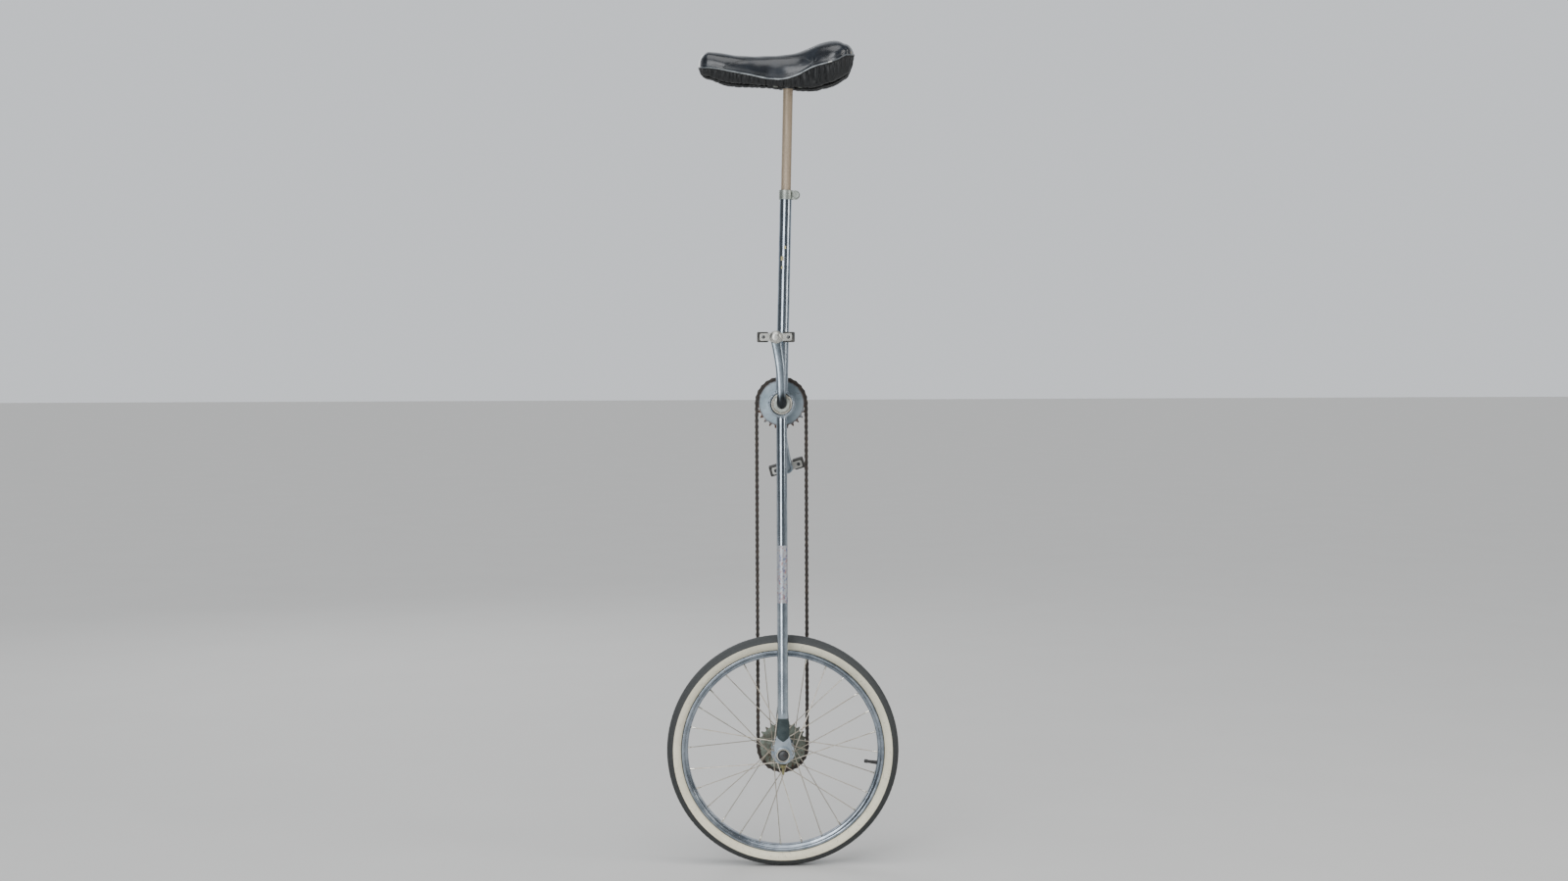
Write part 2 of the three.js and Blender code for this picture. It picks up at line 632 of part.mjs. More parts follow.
const CHAIN_HALF_HEIGHT = 4.2;
const CHAIN_PLATE = 2.5;

// A closed band along the chain's route: over the upper sprocket and under the lower one.
function chainLoop(radius) {
  const path = new THREE.Shape();
  path.moveTo(radius, WHEEL_Z);
  path.lineTo(radius, BB_Z);
  path.absarc(0, BB_Z, radius, 0, Math.PI, false);
  path.lineTo(-radius, WHEEL_Z);
  path.absarc(0, WHEEL_Z, radius, Math.PI, 2 * Math.PI, false);
  return path;
}

// Both rows of side plates as bands, joined by rollers on the two straight runs.
function makeChain() {
  const inner = SPROCKET_HALF + 0.5;
  const parts = [];
  for (const y of [CHAIN_Y + inner, CHAIN_Y - inner - CHAIN_PLATE]) {
    const band = chainLoop(PITCH_R + CHAIN_HALF_HEIGHT);
    band.holes.push(chainLoop(PITCH_R - CHAIN_HALF_HEIGHT));
    parts.push(plate(band, y, y + CHAIN_PLATE));
  }
  for (let link = 5; link < CENTRE_PITCHES; link += 8) {
    for (const x of [-PITCH_R, PITCH_R]) {
      const roller = rod(3.8, CHAIN_Y - inner - 1, CHAIN_Y + inner + 1, 8);
      parts.push(roller.translate(x, 0, WHEEL_Z + link * CHAIN_PITCH));
    }
  }
  return union(...parts);
}

add(unicycle, 'chain', makeChain(), 'chain');

// ---------------------------------------------------------------- saddle

// Stations along the saddle, from the nose to the tail: x from the post, then the heights of
// the underside, the welt and the crown over SADDLE_BASE_Z, and half the width.
const SADDLE_STATIONS = [
  [-187, 34, 41, 50, 16],
  [-180, 28, 39, 64, 32],
  [-164, 23, 36, 73, 43],
  [-130, 11, 30, 69, 48],
  [-85, 7, 22, 64.5, 46],
  [-45, 4, 14, 64, 42],
  [-10, 1, 13, 67, 41],
  [22, 0, 22, 72.5, 46],
  [50, 0, 35, 83, 58],
  [76, 7, 41, 92, 70],
  [98, 14, 47, 94.5, 76],
  [118, 26, 58, 88, 70],
  [131, 41, 65, 78.5, 52],
  [137.5, 52, 68, 71, 26],
];
const COVER = 2.6;
const SADDLE_X = (SADDLE_BASE_Z - BB_Z) * Math.tan(MAST_RAKE);

// A section across the saddle: crown, rounded shoulder, welt, then the skirt tucked under.
function saddleSection([x, low, welt, crown, halfWidth], inset) {
  const w = halfWidth - inset;
  const [bottom, top] = [low + inset, crown - inset];
  const rise = (share) => THREE.MathUtils.lerp(welt, top, share);
  const half = [[0.5 * w, rise(0.95)], [0.84 * w, rise(0.74)], [w, rise(0.3)], [0.97 * w, welt],
    [0.86 * w, THREE.MathUtils.lerp(welt, bottom, 0.6)], [0.5 * w, THREE.MathUtils.lerp(welt, bottom, 0.95)]];
  const around = [[0, top], ...half, [0, bottom], ...half.slice().reverse().map(([y, z]) => [-y, z])];
  return around.map(([y, z]) => new THREE.Vector3(x, y, z));
}

function saddleBody(inset) {
  const squeezed = SADDLE_STATIONS.map((station) => {
    const [x, ...rest] = station;
    const nearEnd = 1 - inset / 165;
    return saddleSection([(x + 24.75) * nearEnd - 24.75, ...rest], inset);
  });
  return loft(squeezed);
}

// A slab that follows the underside, between two heights over it.
function undersideSlab(from, to, share) {
  return loft(SADDLE_STATIONS.map(([x, low, , , halfWidth]) => {
    const w = halfWidth * share;
    const corners = [[-w, low + from], [w, low + from], [w, low + to], [-w, low + to]];
    return corners.map(([y, z]) => new THREE.Vector3(x * 1.02, y, z));
  }));
}

// The pan stands above the cover's tucked edge, which leaves room for the bracket under it.
const PAN_BOTTOM = 10.5;
const PAN_TOP = 15;
const BELOW_ALL = -40;
const contents = saddleBody(COVER + GAP);
const saddle = new THREE.Group();
saddle.position.set(SADDLE_X, 0, SADDLE_BASE_Z);
unicycle.add(saddle);
add(saddle, 'saddle_cover',
  cut(saddleBody(0), saddleBody(COVER), undersideSlab(BELOW_ALL, 4, 0.62)), 'vinyl');
add(saddle, 'saddle_pan', common(contents, undersideSlab(PAN_BOTTOM, PAN_TOP, 1.2)), 'pan');
add(saddle, 'saddle_foam', cut(contents, undersideSlab(BELOW_ALL, PAN_TOP + GAP, 1.2)), 'foam');

const BRACKET_BOLT_X = 26;

// A steel plate under the saddle with a socket over the top of the post.
function makeSaddleBracket() {
  const base = POST_TOP + GAP;
  const flat = new THREE.BoxGeometry(68, 42, 3).translate(0, 0, base + 1.5);
  const socket = tube(13.4, POST_R + 0.5, base - 9, base + 0.5);
  const holes = [-1, 1].map((end) => upright(rod(3.4, -20, 20, 12)).translate(end * BRACKET_BOLT_X, 0, base));
  return cut(union(flat, socket), ...holes);
}

function makeBracketBolt() {
  const base = POST_TOP + GAP;
  const head = upright(plate(hexagon(11), base - GAP - 4.5, base - GAP));
  return union(head, upright(rod(3, base - 2, base + 3, 12)));
}

add(mast, 'saddle_bracket', makeSaddleBracket(), 'darkSteel');
add(mast, 'front_bracket_bolt', makeBracketBolt(), 'zinc').position.x = -BRACKET_BOLT_X;
add(mast, 'rear_bracket_bolt', makeBracketBolt(), 'zinc').position.x = BRACKET_BOLT_X;

export default unicycle;
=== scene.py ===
"""Visual model of the tall chain-driven unicycle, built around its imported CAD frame.

Metres, in the CAD frame: +X to the rear, +Y to the rider's right (chain side), +Z up.
Shapes are written in millimetres and scaled by MM when their mesh is made.
"""
import json
import math
import random

import bmesh
import bpy
import numpy as np
from mathutils import Matrix, Vector
from mathutils.bvhtree import BVHTree


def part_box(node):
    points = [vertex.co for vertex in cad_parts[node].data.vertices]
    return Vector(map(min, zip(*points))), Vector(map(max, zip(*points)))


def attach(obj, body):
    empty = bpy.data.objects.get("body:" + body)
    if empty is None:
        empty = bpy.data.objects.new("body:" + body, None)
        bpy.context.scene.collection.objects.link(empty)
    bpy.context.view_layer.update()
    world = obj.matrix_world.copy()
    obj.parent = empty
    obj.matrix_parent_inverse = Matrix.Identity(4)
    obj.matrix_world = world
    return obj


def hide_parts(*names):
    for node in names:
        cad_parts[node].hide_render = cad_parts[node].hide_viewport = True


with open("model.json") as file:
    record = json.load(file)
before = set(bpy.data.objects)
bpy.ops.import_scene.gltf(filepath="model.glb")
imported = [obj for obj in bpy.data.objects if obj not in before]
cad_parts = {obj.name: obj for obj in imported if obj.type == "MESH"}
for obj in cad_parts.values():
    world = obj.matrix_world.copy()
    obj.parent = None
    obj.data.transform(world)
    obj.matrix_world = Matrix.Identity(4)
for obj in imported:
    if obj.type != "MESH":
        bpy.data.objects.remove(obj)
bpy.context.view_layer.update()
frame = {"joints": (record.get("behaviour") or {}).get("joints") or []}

MM = 0.001
TAU = 2 * math.pi

# ------------------------------------------------------------------ places read from the frame


def box_mm(node):
    low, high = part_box(node)
    return low / MM, high / MM


def centre_mm(node):
    low, high = box_mm(node)
    return (low + high) / 2


def joint(name):
    return next(j for j in frame["joints"] if j["name"] == name)


AXLE_Z = joint("wheel_spin")["pos_m"][2] / MM
BB_Z = joint("crank_spin")["pos_m"][2] / MM
TYRE_R = (box_mm("tyre")[1].z - box_mm("tyre")[0].z) / 2
MAST_AXIS = Vector(joint("seat_turn")["axis"])
MAST_TILT = math.atan2(MAST_AXIS.x, MAST_AXIS.z)
SHELL_R = (box_mm("bb_shell")[1].z - box_mm("bb_shell")[0].z) / 2
CHAIN_Y = centre_mm("upper_sprocket").y
PEDAL_AT = {side: Vector(joint(f"{side}_pedal_spin")["pos_m"]) / MM for side in ("left", "right")}
CRANK_LENGTH = math.hypot(PEDAL_AT["left"].x, PEDAL_AT["left"].z - BB_Z)
CRANK_TILT = math.atan2(-PEDAL_AT["left"].x, PEDAL_AT["left"].z - BB_Z)
SIDES = (("left", -1), ("right", 1))

# ------------------------------------------------------------------ camera, floor and light

CAMERA_AT = Vector((-0.033, -4.346, 1.098))
CAMERA_YAW = math.radians(0.5)
CAMERA_PITCH = math.radians(-2.55)
CAMERA_ROLL = math.radians(0.22)
FOCAL_PIXELS = 2102
IMAGE_WIDTH = 1600


def make_camera():
    data = bpy.data.cameras.new("camera")
    data.sensor_width = 36
    data.lens = FOCAL_PIXELS / IMAGE_WIDTH * data.sensor_width
    camera = bpy.data.objects.new("camera", data)
    bpy.context.scene.collection.objects.link(camera)
    turn = Matrix.Rotation(-CAMERA_YAW, 4, "Z") @ Matrix.Rotation(math.pi / 2 + CAMERA_PITCH, 4, "X")
    camera.matrix_world = Matrix.Translation(CAMERA_AT) @ turn @ Matrix.Rotation(-CAMERA_ROLL, 4, "Z")
    bpy.context.scene.camera = camera


def make_area(name, place, target, size, power, colour=(1, 1, 1)):
    data = bpy.data.lights.new(name, "AREA")
    data.shape = "RECTANGLE"
    data.size, data.size_y = size
    data.energy = power
    data.color = colour
    light = bpy.data.objects.new(name, data)
    light.location = place
    light.rotation_euler = (Vector(target) - Vector(place)).to_track_quat("-Z", "Y").to_euler()
    bpy.context.scene.collection.objects.link(light)


SKY_COLOUR = (0.84, 0.87, 0.91, 1)
DIM_SKY = 0.15
PALE_SKY = 0.95
FLOOR_REACH = 40


def make_studio():
    """A pale floor under a sky that is dim in front of the unicycle and pale behind it, so that
    round chrome shows dark and bright bands; three soft lamps and a wide soft sun."""
    world = bpy.data.worlds.new("studio")
    world.use_nodes = True
    tree = world.node_tree
    background = tree.nodes["Background"]
    background.inputs["Color"].default_value = SKY_COLOUR
    split = tree.nodes.new("ShaderNodeSeparateXYZ")
    tree.links.new(tree.nodes.new("ShaderNodeTexCoord").outputs["Generated"], split.inputs["Vector"])
    fade = tree.nodes.new("ShaderNodeMapRange")
    fade.interpolation_type = "SMOOTHSTEP"
    tree.links.new(split.outputs["Y"], fade.inputs["Value"])
    for socket, value in (("From Min", 0.1), ("From Max", 0.85), ("To Min", DIM_SKY), ("To Max", PALE_SKY)):
        fade.inputs[socket].default_value = value
    tree.links.new(fade.outputs["Result"], background.inputs["Strength"])
    bpy.context.scene.world = world
    make_area("key", (-1.35, -3.2, 1.5), (0, 0, 1.0), (1.5, 2.6), 62, (0.97, 0.985, 1.0))
    make_area("fill", (3.4, -1.6, 2.2), (0, 0, 0.9), (1.4, 2.4), 42, (1.0, 0.97, 0.93))
    make_area("back", (-1.6, 3.4, 2.8), (0, 0, 0.9), (1.6, 2.2), 30)
    overhead = bpy.data.lights.new("overhead", "SUN")
    overhead.energy = 1.9
    overhead.angle = math.radians(60)
    lamp = bpy.data.objects.new("overhead", overhead)
    lamp.rotation_euler = (math.radians(28), math.radians(-8), 0)
    bpy.context.scene.collection.objects.link(lamp)
    mesh = bpy.data.meshes.new("studio_floor")
    corners = ((-1, -1), (1, -1), (1, 1), (-1, 1))
    mesh.from_pydata([(FLOOR_REACH * x, FLOOR_REACH * y, 0) for x, y in corners], [], [(0, 1, 2, 3)])
    mesh.materials.append(floor_material())
    floor = bpy.data.objects.new("studio_floor", mesh)
    bpy.context.scene.collection.objects.link(floor)


# ------------------------------------------------------------------ node materials


class Nodes:
    """A small builder for one material's node tree."""

    def __init__(self, name):
        self.material = bpy.data.materials.new(name)
        self.material.use_nodes = True
        self.tree = self.material.node_tree
        self.shader = self.tree.nodes["Principled BSDF"]
        self.place = self.add("ShaderNodeTexCoord").outputs["Object"]

    def add(self, kind, **values):
        node = self.tree.nodes.new(kind)
        for key, value in values.items():
            setattr(node, key, value)
        return node

    def link(self, value, socket):
        if hasattr(value, "is_output"):
            self.tree.links.new(value, socket)
        else:
            socket.default_value = value

    def set(self, **values):
        for key, value in values.items():
            self.link(value, self.shader.inputs[key.replace("_", " ")])

    def stretched(self, scale):
        mapping = self.add("ShaderNodeMapping")
        mapping.inputs["Scale"].default_value = scale
        self.link(self.place, mapping.inputs["Vector"])
        return mapping.outputs["Vector"]

    def noise(self, scale, detail=3.0, roughness=0.55, where=None, distortion=0.0):
        node = self.add("ShaderNodeTexNoise")
        self.link(self.place if where is None else where, node.inputs["Vector"])
        node.inputs["Scale"].default_value = scale
        node.inputs["Detail"].default_value = detail
        node.inputs["Roughness"].default_value = roughness
        node.inputs["Distortion"].default_value = distortion
        return node.outputs["Fac"]

    def cells(self, scale, feature="F1", where=None):
        node = self.add("ShaderNodeTexVoronoi", feature=feature)
        self.link(self.place if where is None else where, node.inputs["Vector"])
        node.inputs["Scale"].default_value = scale
        return node.outputs["Distance"]

    def steps(self, value, low, high):
        """0 below low, 1 above high, smooth between."""
        node = self.add("ShaderNodeMapRange", interpolation_type="SMOOTHSTEP")
        self.link(value, node.inputs["Value"])
        node.inputs["From Min"].default_value = low
        node.inputs["From Max"].default_value = high
        return node.outputs["Result"]

    def between(self, value, low, high):
        """Maps 0..1 to low..high."""
        node = self.add("ShaderNodeMapRange")
        self.link(value, node.inputs["Value"])
        node.inputs["To Min"].default_value = low
        node.inputs["To Max"].default_value = high
        return node.outputs["Result"]

    def math(self, operation, a, b=0.0):
        node = self.add("ShaderNodeMath", operation=operation)
        self.link(a, node.inputs[0])
        self.link(b, node.inputs[1])
        return node.outputs["Value"]

    def mix(self, share, a, b):
        node = self.add("ShaderNodeMix", data_type="RGBA")
        self.link(share, node.inputs["Factor"])
        sockets = [s for s in node.inputs if s.type == "RGBA"]
        self.link(rgba(a), sockets[0])
        self.link(rgba(b), sockets[1])
        return next(s for s in node.outputs if s.type == "RGBA")

    def axis(self, letter):
        node = self.add("ShaderNodeSeparateXYZ")
        self.link(self.place, node.inputs["Vector"])
        return node.outputs[letter]

    def distance_in_xz(self, centre_z):
        """Distance from the Y axis through (0, 0, centre_z), in metres."""
        x = self.axis("X")
        z = self.math("SUBTRACT", self.axis("Z"), centre_z)
        squares = self.math("ADD", self.math("MULTIPLY", x, x), self.math("MULTIPLY", z, z))
        return self.math("SQRT", squares)

    def bump(self, height, distance, strength=1.0, under=None):
        node = self.add("ShaderNodeBump")
        self.link(height, node.inputs["Height"])
        node.inputs["Distance"].default_value = distance
        node.inputs["Strength"].default_value = strength
        if under is not None:
            self.link(under, node.inputs["Normal"])
        return node.outputs["Normal"]


def rgba(colour):
    return (*colour, 1.0) if isinstance(colour, tuple) and len(colour) == 3 else colour


def floor_material():
    n = Nodes("studio_floor")
    n.set(Base_Color=n.mix(n.noise(3), (0.66, 0.66, 0.65), (0.70, 0.70, 0.69)), Roughness=0.8)
    return n.material


MATERIALS = {}
# Colour of the painted shade on the crank's elbow, near the crank axis.
ELBOW_SHADE = (0.035, 0.040, 0.044)
RUST = (0.105, 0.052, 0.030)


def worn_metal(name, colour, dark, rough=(0.15, 0.4), rust=0.62, rust_scale=260, grain=(1, 1, 1),
               painted_elbow_shade=None, rusty_edge=None):
    """Bare or plated steel: blotches, fine scratches along the grain, and specks of rust where
    rust is the share of noise that stays clean. The last two arguments are pairs of radii round
    the crank axis: the first pair paints shade on the crank's elbow, dark up to its first radius
    and clear from its second; rusty_edge is clean up to its first radius and rusty from its second."""
    n = Nodes(name)
    blotch = n.noise(38, 5, 0.6)
    scratch = n.noise(700, 2, 0.6, n.stretched(grain))
    speck = n.steps(n.noise(rust_scale, 6, 0.68), rust, rust + 0.07)
    broad = n.steps(n.noise(24, 4, 0.6), 0.42, 0.66)
    rusty = n.math("MULTIPLY", speck, n.between(broad, 0.25, 1.0))
    clean = n.mix(n.steps(blotch, 0.3, 0.72), colour, dark)
    clean = n.mix(n.math("MULTIPLY", n.steps(scratch, 0.55, 0.75), 0.25), clean, dark)
    # Painted shade: the metal is darkened towards the crank axis, for the shade on the crank's elbow.
    if painted_elbow_shade:
        clean = n.mix(n.steps(n.distance_in_xz(BB_Z * MM), *painted_elbow_shade), ELBOW_SHADE, clean)
    if rusty_edge:
        edge = n.steps(n.distance_in_xz(BB_Z * MM), *rusty_edge)
        rusty = n.math("MAXIMUM", rusty, n.math("MULTIPLY", edge, n.steps(n.noise(95, 5, 0.65), 0.30, 0.50)))
    n.set(
        Base_Color=n.mix(rusty, clean, RUST),
        Metallic=n.between(rusty, 1.0, 0.15),
        Roughness=n.math("ADD", n.between(blotch, *rough), n.math("MULTIPLY", rusty, 0.4)),
        Normal=n.bump(rusty, 0.0001, 0.5, n.bump(scratch, 0.00002, 0.35)),
    )
    return n.material


def oxidised_post():
    n = Nodes("oxidised_post")
    streak = n.noise(90, 5, 0.6, n.stretched((1, 1, 0.06)))
    fine = n.noise(900, 3, 0.6, n.stretched((1, 1, 0.25)))
    ring = n.noise(260, 2, 0.5, n.stretched((0.02, 0.02, 1)))
    colour = n.mix(n.steps(streak, 0.32, 0.68), (0.33, 0.26, 0.185), (0.47, 0.385, 0.29))
    colour = n.mix(n.math("MULTIPLY", n.steps(fine, 0.5, 0.75), 0.45), colour, (0.20, 0.15, 0.10))
    colour = n.mix(n.math("MULTIPLY", n.steps(ring, 0.55, 0.8), 0.35), colour, (0.24, 0.18, 0.13))
    n.set(Base_Color=colour, Metallic=0.35, Roughness=n.between(fine, 0.45, 0.7),
          Normal=n.bump(fine, 0.00005, 0.6))
    return n.material


def chain_steel():
    n = Nodes("chain_steel")
    blotch = n.noise(160, 5, 0.65)
    grime = n.noise(520, 4, 0.6)
    colour = n.mix(n.steps(blotch, 0.38, 0.70), (0.036, 0.033, 0.031), (0.072, 0.055, 0.045))
    colour = n.mix(n.math("MULTIPLY", n.steps(grime, 0.58, 0.72), 0.5), colour, (0.24, 0.21, 0.18))
    n.set(Base_Color=colour, Metallic=n.between(grime, 0.35, 0.8), Roughness=n.between(blotch, 0.45, 0.75),
          Normal=n.bump(grime, 0.0001, 0.6))
    return n.material


def tread_rubber():
    n = Nodes("tread_rubber")
    dust = n.noise(320, 6, 0.65)
    fine = n.noise(1300, 3, 0.6)
    top = n.math("MULTIPLY", n.steps(n.axis("Z"), 0.15, 0.5), 0.45)
    crack = n.steps(n.cells(240, "DISTANCE_TO_EDGE"), 0.0, 0.05)
    colour = n.mix(n.steps(dust, 0.35, 0.75), (0.026, 0.028, 0.029), (0.052, 0.056, 0.056))
    colour = n.mix(n.math("MULTIPLY", n.steps(fine, 0.5, 0.8), 0.25), colour, (0.11, 0.11, 0.105))
    colour = n.mix(top, colour, (0.085, 0.092, 0.095))
    n.set(Base_Color=colour, Roughness=n.between(dust, 0.7, 0.92),
          Normal=n.bump(crack, 0.00012, 0.25, n.bump(fine, 0.00008, 0.5)))
    return n.material


def whitewall_rubber():
    n = Nodes("whitewall_rubber")
    stain = n.noise(16, 5, 0.62)
    scuff = n.noise(150, 5, 0.7, None, 0.6)
    speck = n.noise(900, 3, 0.6)
    # Painted shade: the whitewall is mixed towards grey higher up the wheel, for the shade on its upper part.
    low = n.steps(n.axis("Z"), 0.10, 0.46)
    colour = n.mix(n.steps(stain, 0.3, 0.72), (0.92, 0.87, 0.68), (0.80, 0.75, 0.57))
    colour = n.mix(n.math("MULTIPLY", low, 0.38), colour, (0.40, 0.40, 0.34))
    colour = n.mix(n.math("MULTIPLY", n.steps(scuff, 0.56, 0.72), 0.55), colour, (0.25, 0.235, 0.20))
    colour = n.mix(n.math("MULTIPLY", n.steps(speck, 0.62, 0.72), 0.5), colour, (0.16, 0.14, 0.115))
    n.set(Base_Color=colour, Roughness=n.between(scuff, 0.5, 0.75), Normal=n.bump(speck, 0.00006, 0.5))
    return n.material


def vinyl():
    n = Nodes("saddle_vinyl")
    grain = n.cells(1500)
    pore = n.noise(2400, 2, 0.5)
    patch = n.noise(26, 4, 0.6)
    scuff = n.noise(190, 5, 0.72, n.stretched((0.35, 1, 1)), 0.8)
    colour = n.mix(n.steps(patch, 0.35, 0.7), (0.010, 0.0125, 0.017), (0.020, 0.026, 0.036))
    colour = n.mix(n.math("MULTIPLY", n.steps(scuff, 0.62, 0.76), 0.35), colour, (0.055, 0.066, 0.08))
    rough = n.math("ADD", n.between(patch, 0.22, 0.36), n.math("MULTIPLY", n.steps(scuff, 0.58, 0.78), 0.16))
    n.set(Base_Color=colour, Roughness=rough, Specular_IOR_Level=0.62,
          Normal=n.bump(grain, 0.00012, 0.35, n.bump(pore, 0.00004, 0.4)))
    n.set(Coat_Weight=0.3, Coat_Roughness=0.20)
    return n.material


CHIP_X = 0.102


def highlight_and_wear_piping():
    """Pale along the middle of the saddle, a painted highlight broken up by wear, darker towards
    both ends, with one bare chip.
    """
    n = Nodes("highlight_and_wear_piping")
    wear = n.noise(120, 5, 0.65, n.stretched((0.5, 1, 1)))
    fine = n.noise(900, 3, 0.6)
    x = n.axis("X")
    # Painted highlight: the cord is made pale over the middle of its length, where light catches it; wear
    # noise breaks it up.
    painted_highlight_span = n.math("MULTIPLY", n.steps(x, -0.165, -0.03), n.math("SUBTRACT", 1.0, n.steps(x, 0.07, 0.115)))
    share = n.math("MULTIPLY", n.steps(wear, 0.26, 0.55), n.between(painted_highlight_span, 0.22, 1.0))
    colour = n.mix(share, (0.026, 0.031, 0.038), (0.42, 0.46, 0.48))
    off = n.math("ABSOLUTE", n.math("SUBTRACT", x, CHIP_X))
    chip = n.math("MULTIPLY", n.math("SUBTRACT", 1.0, n.steps(off, 0.003, 0.005)),
                  n.steps(n.axis("Y"), 0.0, -0.01))
    colour = n.mix(chip, colour, (0.70, 0.71, 0.68))
    n.set(Base_Color=colour, Roughness=n.between(wear, 0.28, 0.5), Normal=n.bump(fine, 0.00005, 0.5))
    return n.material


def plain_rough(name, colour, other, rough=(0.5, 0.75), scale=60, grain=1100):
    n = Nodes(name)
    blotch = n.noise(scale, 5, 0.62)
    fine = n.noise(grain, 3, 0.6)
    n.set(Base_Color=n.mix(n.steps(blotch, 0.32, 0.7), colour, other), Roughness=n.between(blotch, *rough),
          Normal=n.bump(fine, 0.00006, 0.5))
    return n.material


def worn_sticker():
    """A silver sticker speckled with what is left of its red and blue print."""
    n = Nodes("worn_sticker")
    wear = n.noise(230, 5, 0.7)
    red = n.math("MULTIPLY", n.steps(n.noise(190, 2, 0.5), 0.55, 0.61), 0.65)
    blue = n.math("MULTIPLY", n.steps(n.noise(160, 2, 0.5, n.stretched((1, 1, 0.8))), 0.55, 0.61), 0.65)
    colour = n.mix(red, (0.46, 0.48, 0.51), (0.36, 0.12, 0.12))
    colour = n.mix(blue, colour, (0.10, 0.15, 0.33))
    colour = n.mix(n.steps(wear, 0.50, 0.62), colour, (0.48, 0.53, 0.58))
    n.set(Base_Color=colour, Metallic=0.6, Roughness=n.between(wear, 0.30, 0.55),
          Normal=n.bump(wear, 0.00005, 0.5))
    return n.material


def make_materials():
    along = (1, 1, 0.03)
    made = {
        "chrome": worn_metal("aged_chrome", (0.48, 0.545, 0.61), (0.28, 0.335, 0.39), (0.09, 0.24), 0.66,
                             300, along),
        "rim_chrome": worn_metal("rim_chrome", (0.37, 0.42, 0.48), (0.18, 0.215, 0.255), (0.14, 0.32), 0.60,
                                 210),
        "holder": worn_metal("holder_zinc", (0.46, 0.52, 0.58), (0.29, 0.35, 0.40), (0.30, 0.50), 0.62, 240),
        "zinc": worn_metal("dull_zinc", (0.52, 0.55, 0.51), (0.34, 0.37, 0.34), (0.34, 0.55), 0.64, 240),
        "spokes": worn_metal("spoke_steel", (0.60, 0.56, 0.49), (0.42, 0.36, 0.28), (0.30, 0.5), 0.60, 420),
        "forged": worn_metal("forged_steel", (0.50, 0.56, 0.62), (0.30, 0.34, 0.38), (0.20, 0.38), 0.64,
                             260, along),
        # The crank's elbow is darkened near the axis as painted shade.
        "crank": worn_metal("crank_steel", (0.42, 0.49, 0.56), (0.23, 0.28, 0.32), (0.20, 0.38), 0.64, 260,
                            along,
                            painted_elbow_shade=(0.012, 0.034)),
        "plate": worn_metal("sprocket_steel", (0.42, 0.50, 0.56), (0.25, 0.31, 0.35), (0.30, 0.46), 0.58, 150,
                            rusty_edge=(0.0440, 0.0500)),
        "old_plate": worn_metal("lower_sprocket_steel", (0.27, 0.31, 0.27), (0.13, 0.14, 0.115),
                                (0.40, 0.6), 0.50, 130),
        "block": plain_rough("pedal_rubber", (0.028, 0.029, 0.029), (0.085, 0.082, 0.076), (0.65, 0.85), 140),
        "pedal": worn_metal("pedal_steel", (0.62, 0.62, 0.58), (0.36, 0.36, 0.34), (0.28, 0.5), 0.60, 300),
        "dark": worn_metal("dark_steel", (0.115, 0.12, 0.125), (0.06, 0.062, 0.065), (0.35, 0.6), 0.58, 280),
        "foot": worn_metal("leg_foot", (0.10, 0.125, 0.13), (0.055, 0.075, 0.08), (0.35, 0.55), 0.60, 220),
        "bright": worn_metal("bearing_steel", (0.78, 0.76, 0.69), (0.58, 0.55, 0.47), (0.16, 0.3), 0.66, 320),
        "brass": worn_metal("dull_brass", (0.36, 0.33, 0.17), (0.20, 0.19, 0.11), (0.32, 0.5), 0.62, 330),
        "post": oxidised_post(),
        "chain": chain_steel(),
        "tread": tread_rubber(),
        "whitewall": whitewall_rubber(),
        "vinyl": vinyl(),
        "piping": highlight_and_wear_piping(),
        "rubber": plain_rough("tube_rubber", (0.018, 0.018, 0.019), (0.045, 0.045, 0.046)),
        "tape": plain_rough("rim_tape", (0.50, 0.38, 0.22), (0.34, 0.25, 0.14), (0.75, 0.9)),
        "pan": plain_rough("saddle_pan", (0.016, 0.017, 0.019), (0.036, 0.036, 0.038), (0.42, 0.65)),
        "foam": plain_rough("saddle_foam", (0.62, 0.54, 0.36), (0.48, 0.40, 0.25), (0.85, 0.95), 90, 500),
        "sticker": worn_sticker(),
        "scrap": plain_rough("sticker_scrap", (0.52, 0.46, 0.20), (0.34, 0.31, 0.20), (0.5, 0.7), 300),
        "skirt": plain_rough("skirt_vinyl", (0.0035, 0.0042, 0.0052), (0.009, 0.0105, 0.0125), (0.42, 0.62),
                             130),
        "lining": plain_rough("cover_underside", (0.012, 0.012, 0.013), (0.026, 0.025, 0.025), (0.6, 0.8)),
    }
    MATERIALS.update(made)


# ------------------------------------------------------------------ mesh helpers

SHARP = math.radians(38)


def polish(mesh):
    """Smooth faces with sharp edges where the surface turns a corner."""
    bm = bmesh.new()
    bm.from_mesh(mesh)
    bmesh.ops.remove_doubles(bm, verts=bm.verts, dist=1e-6)
    bmesh.ops.recalc_face_normals(bm, faces=bm.faces)
    for face in bm.faces:
        face.smooth = True
    for edge in bm.edges:
        edge.smooth = len(edge.link_faces) == 2 and edge.calc_face_angle(0) < SHARP
    bm.to_mesh(mesh)
    bm.free()


def piece(name, mesh, body, materials, nodes=()):
    """One visible object made of a mesh in millimetres, riding on a CAD body."""
    mesh.transform(Matrix.Scale(MM, 4))
    polish(mesh)
    obj = bpy.data.objects.new(name, mesh)
    bpy.context.scene.collection.objects.link(obj)
    for material in [materials] if isinstance(materials, str) else materials:
        mesh.materials.append(MATERIALS[material])
    even = obj.modifiers.new("even_shading", "WEIGHTED_NORMAL")
    even.keep_sharp = True
    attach(obj, body)
    if nodes:
        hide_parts(*([nodes] if isinstance(nodes, str) else nodes))
    return obj


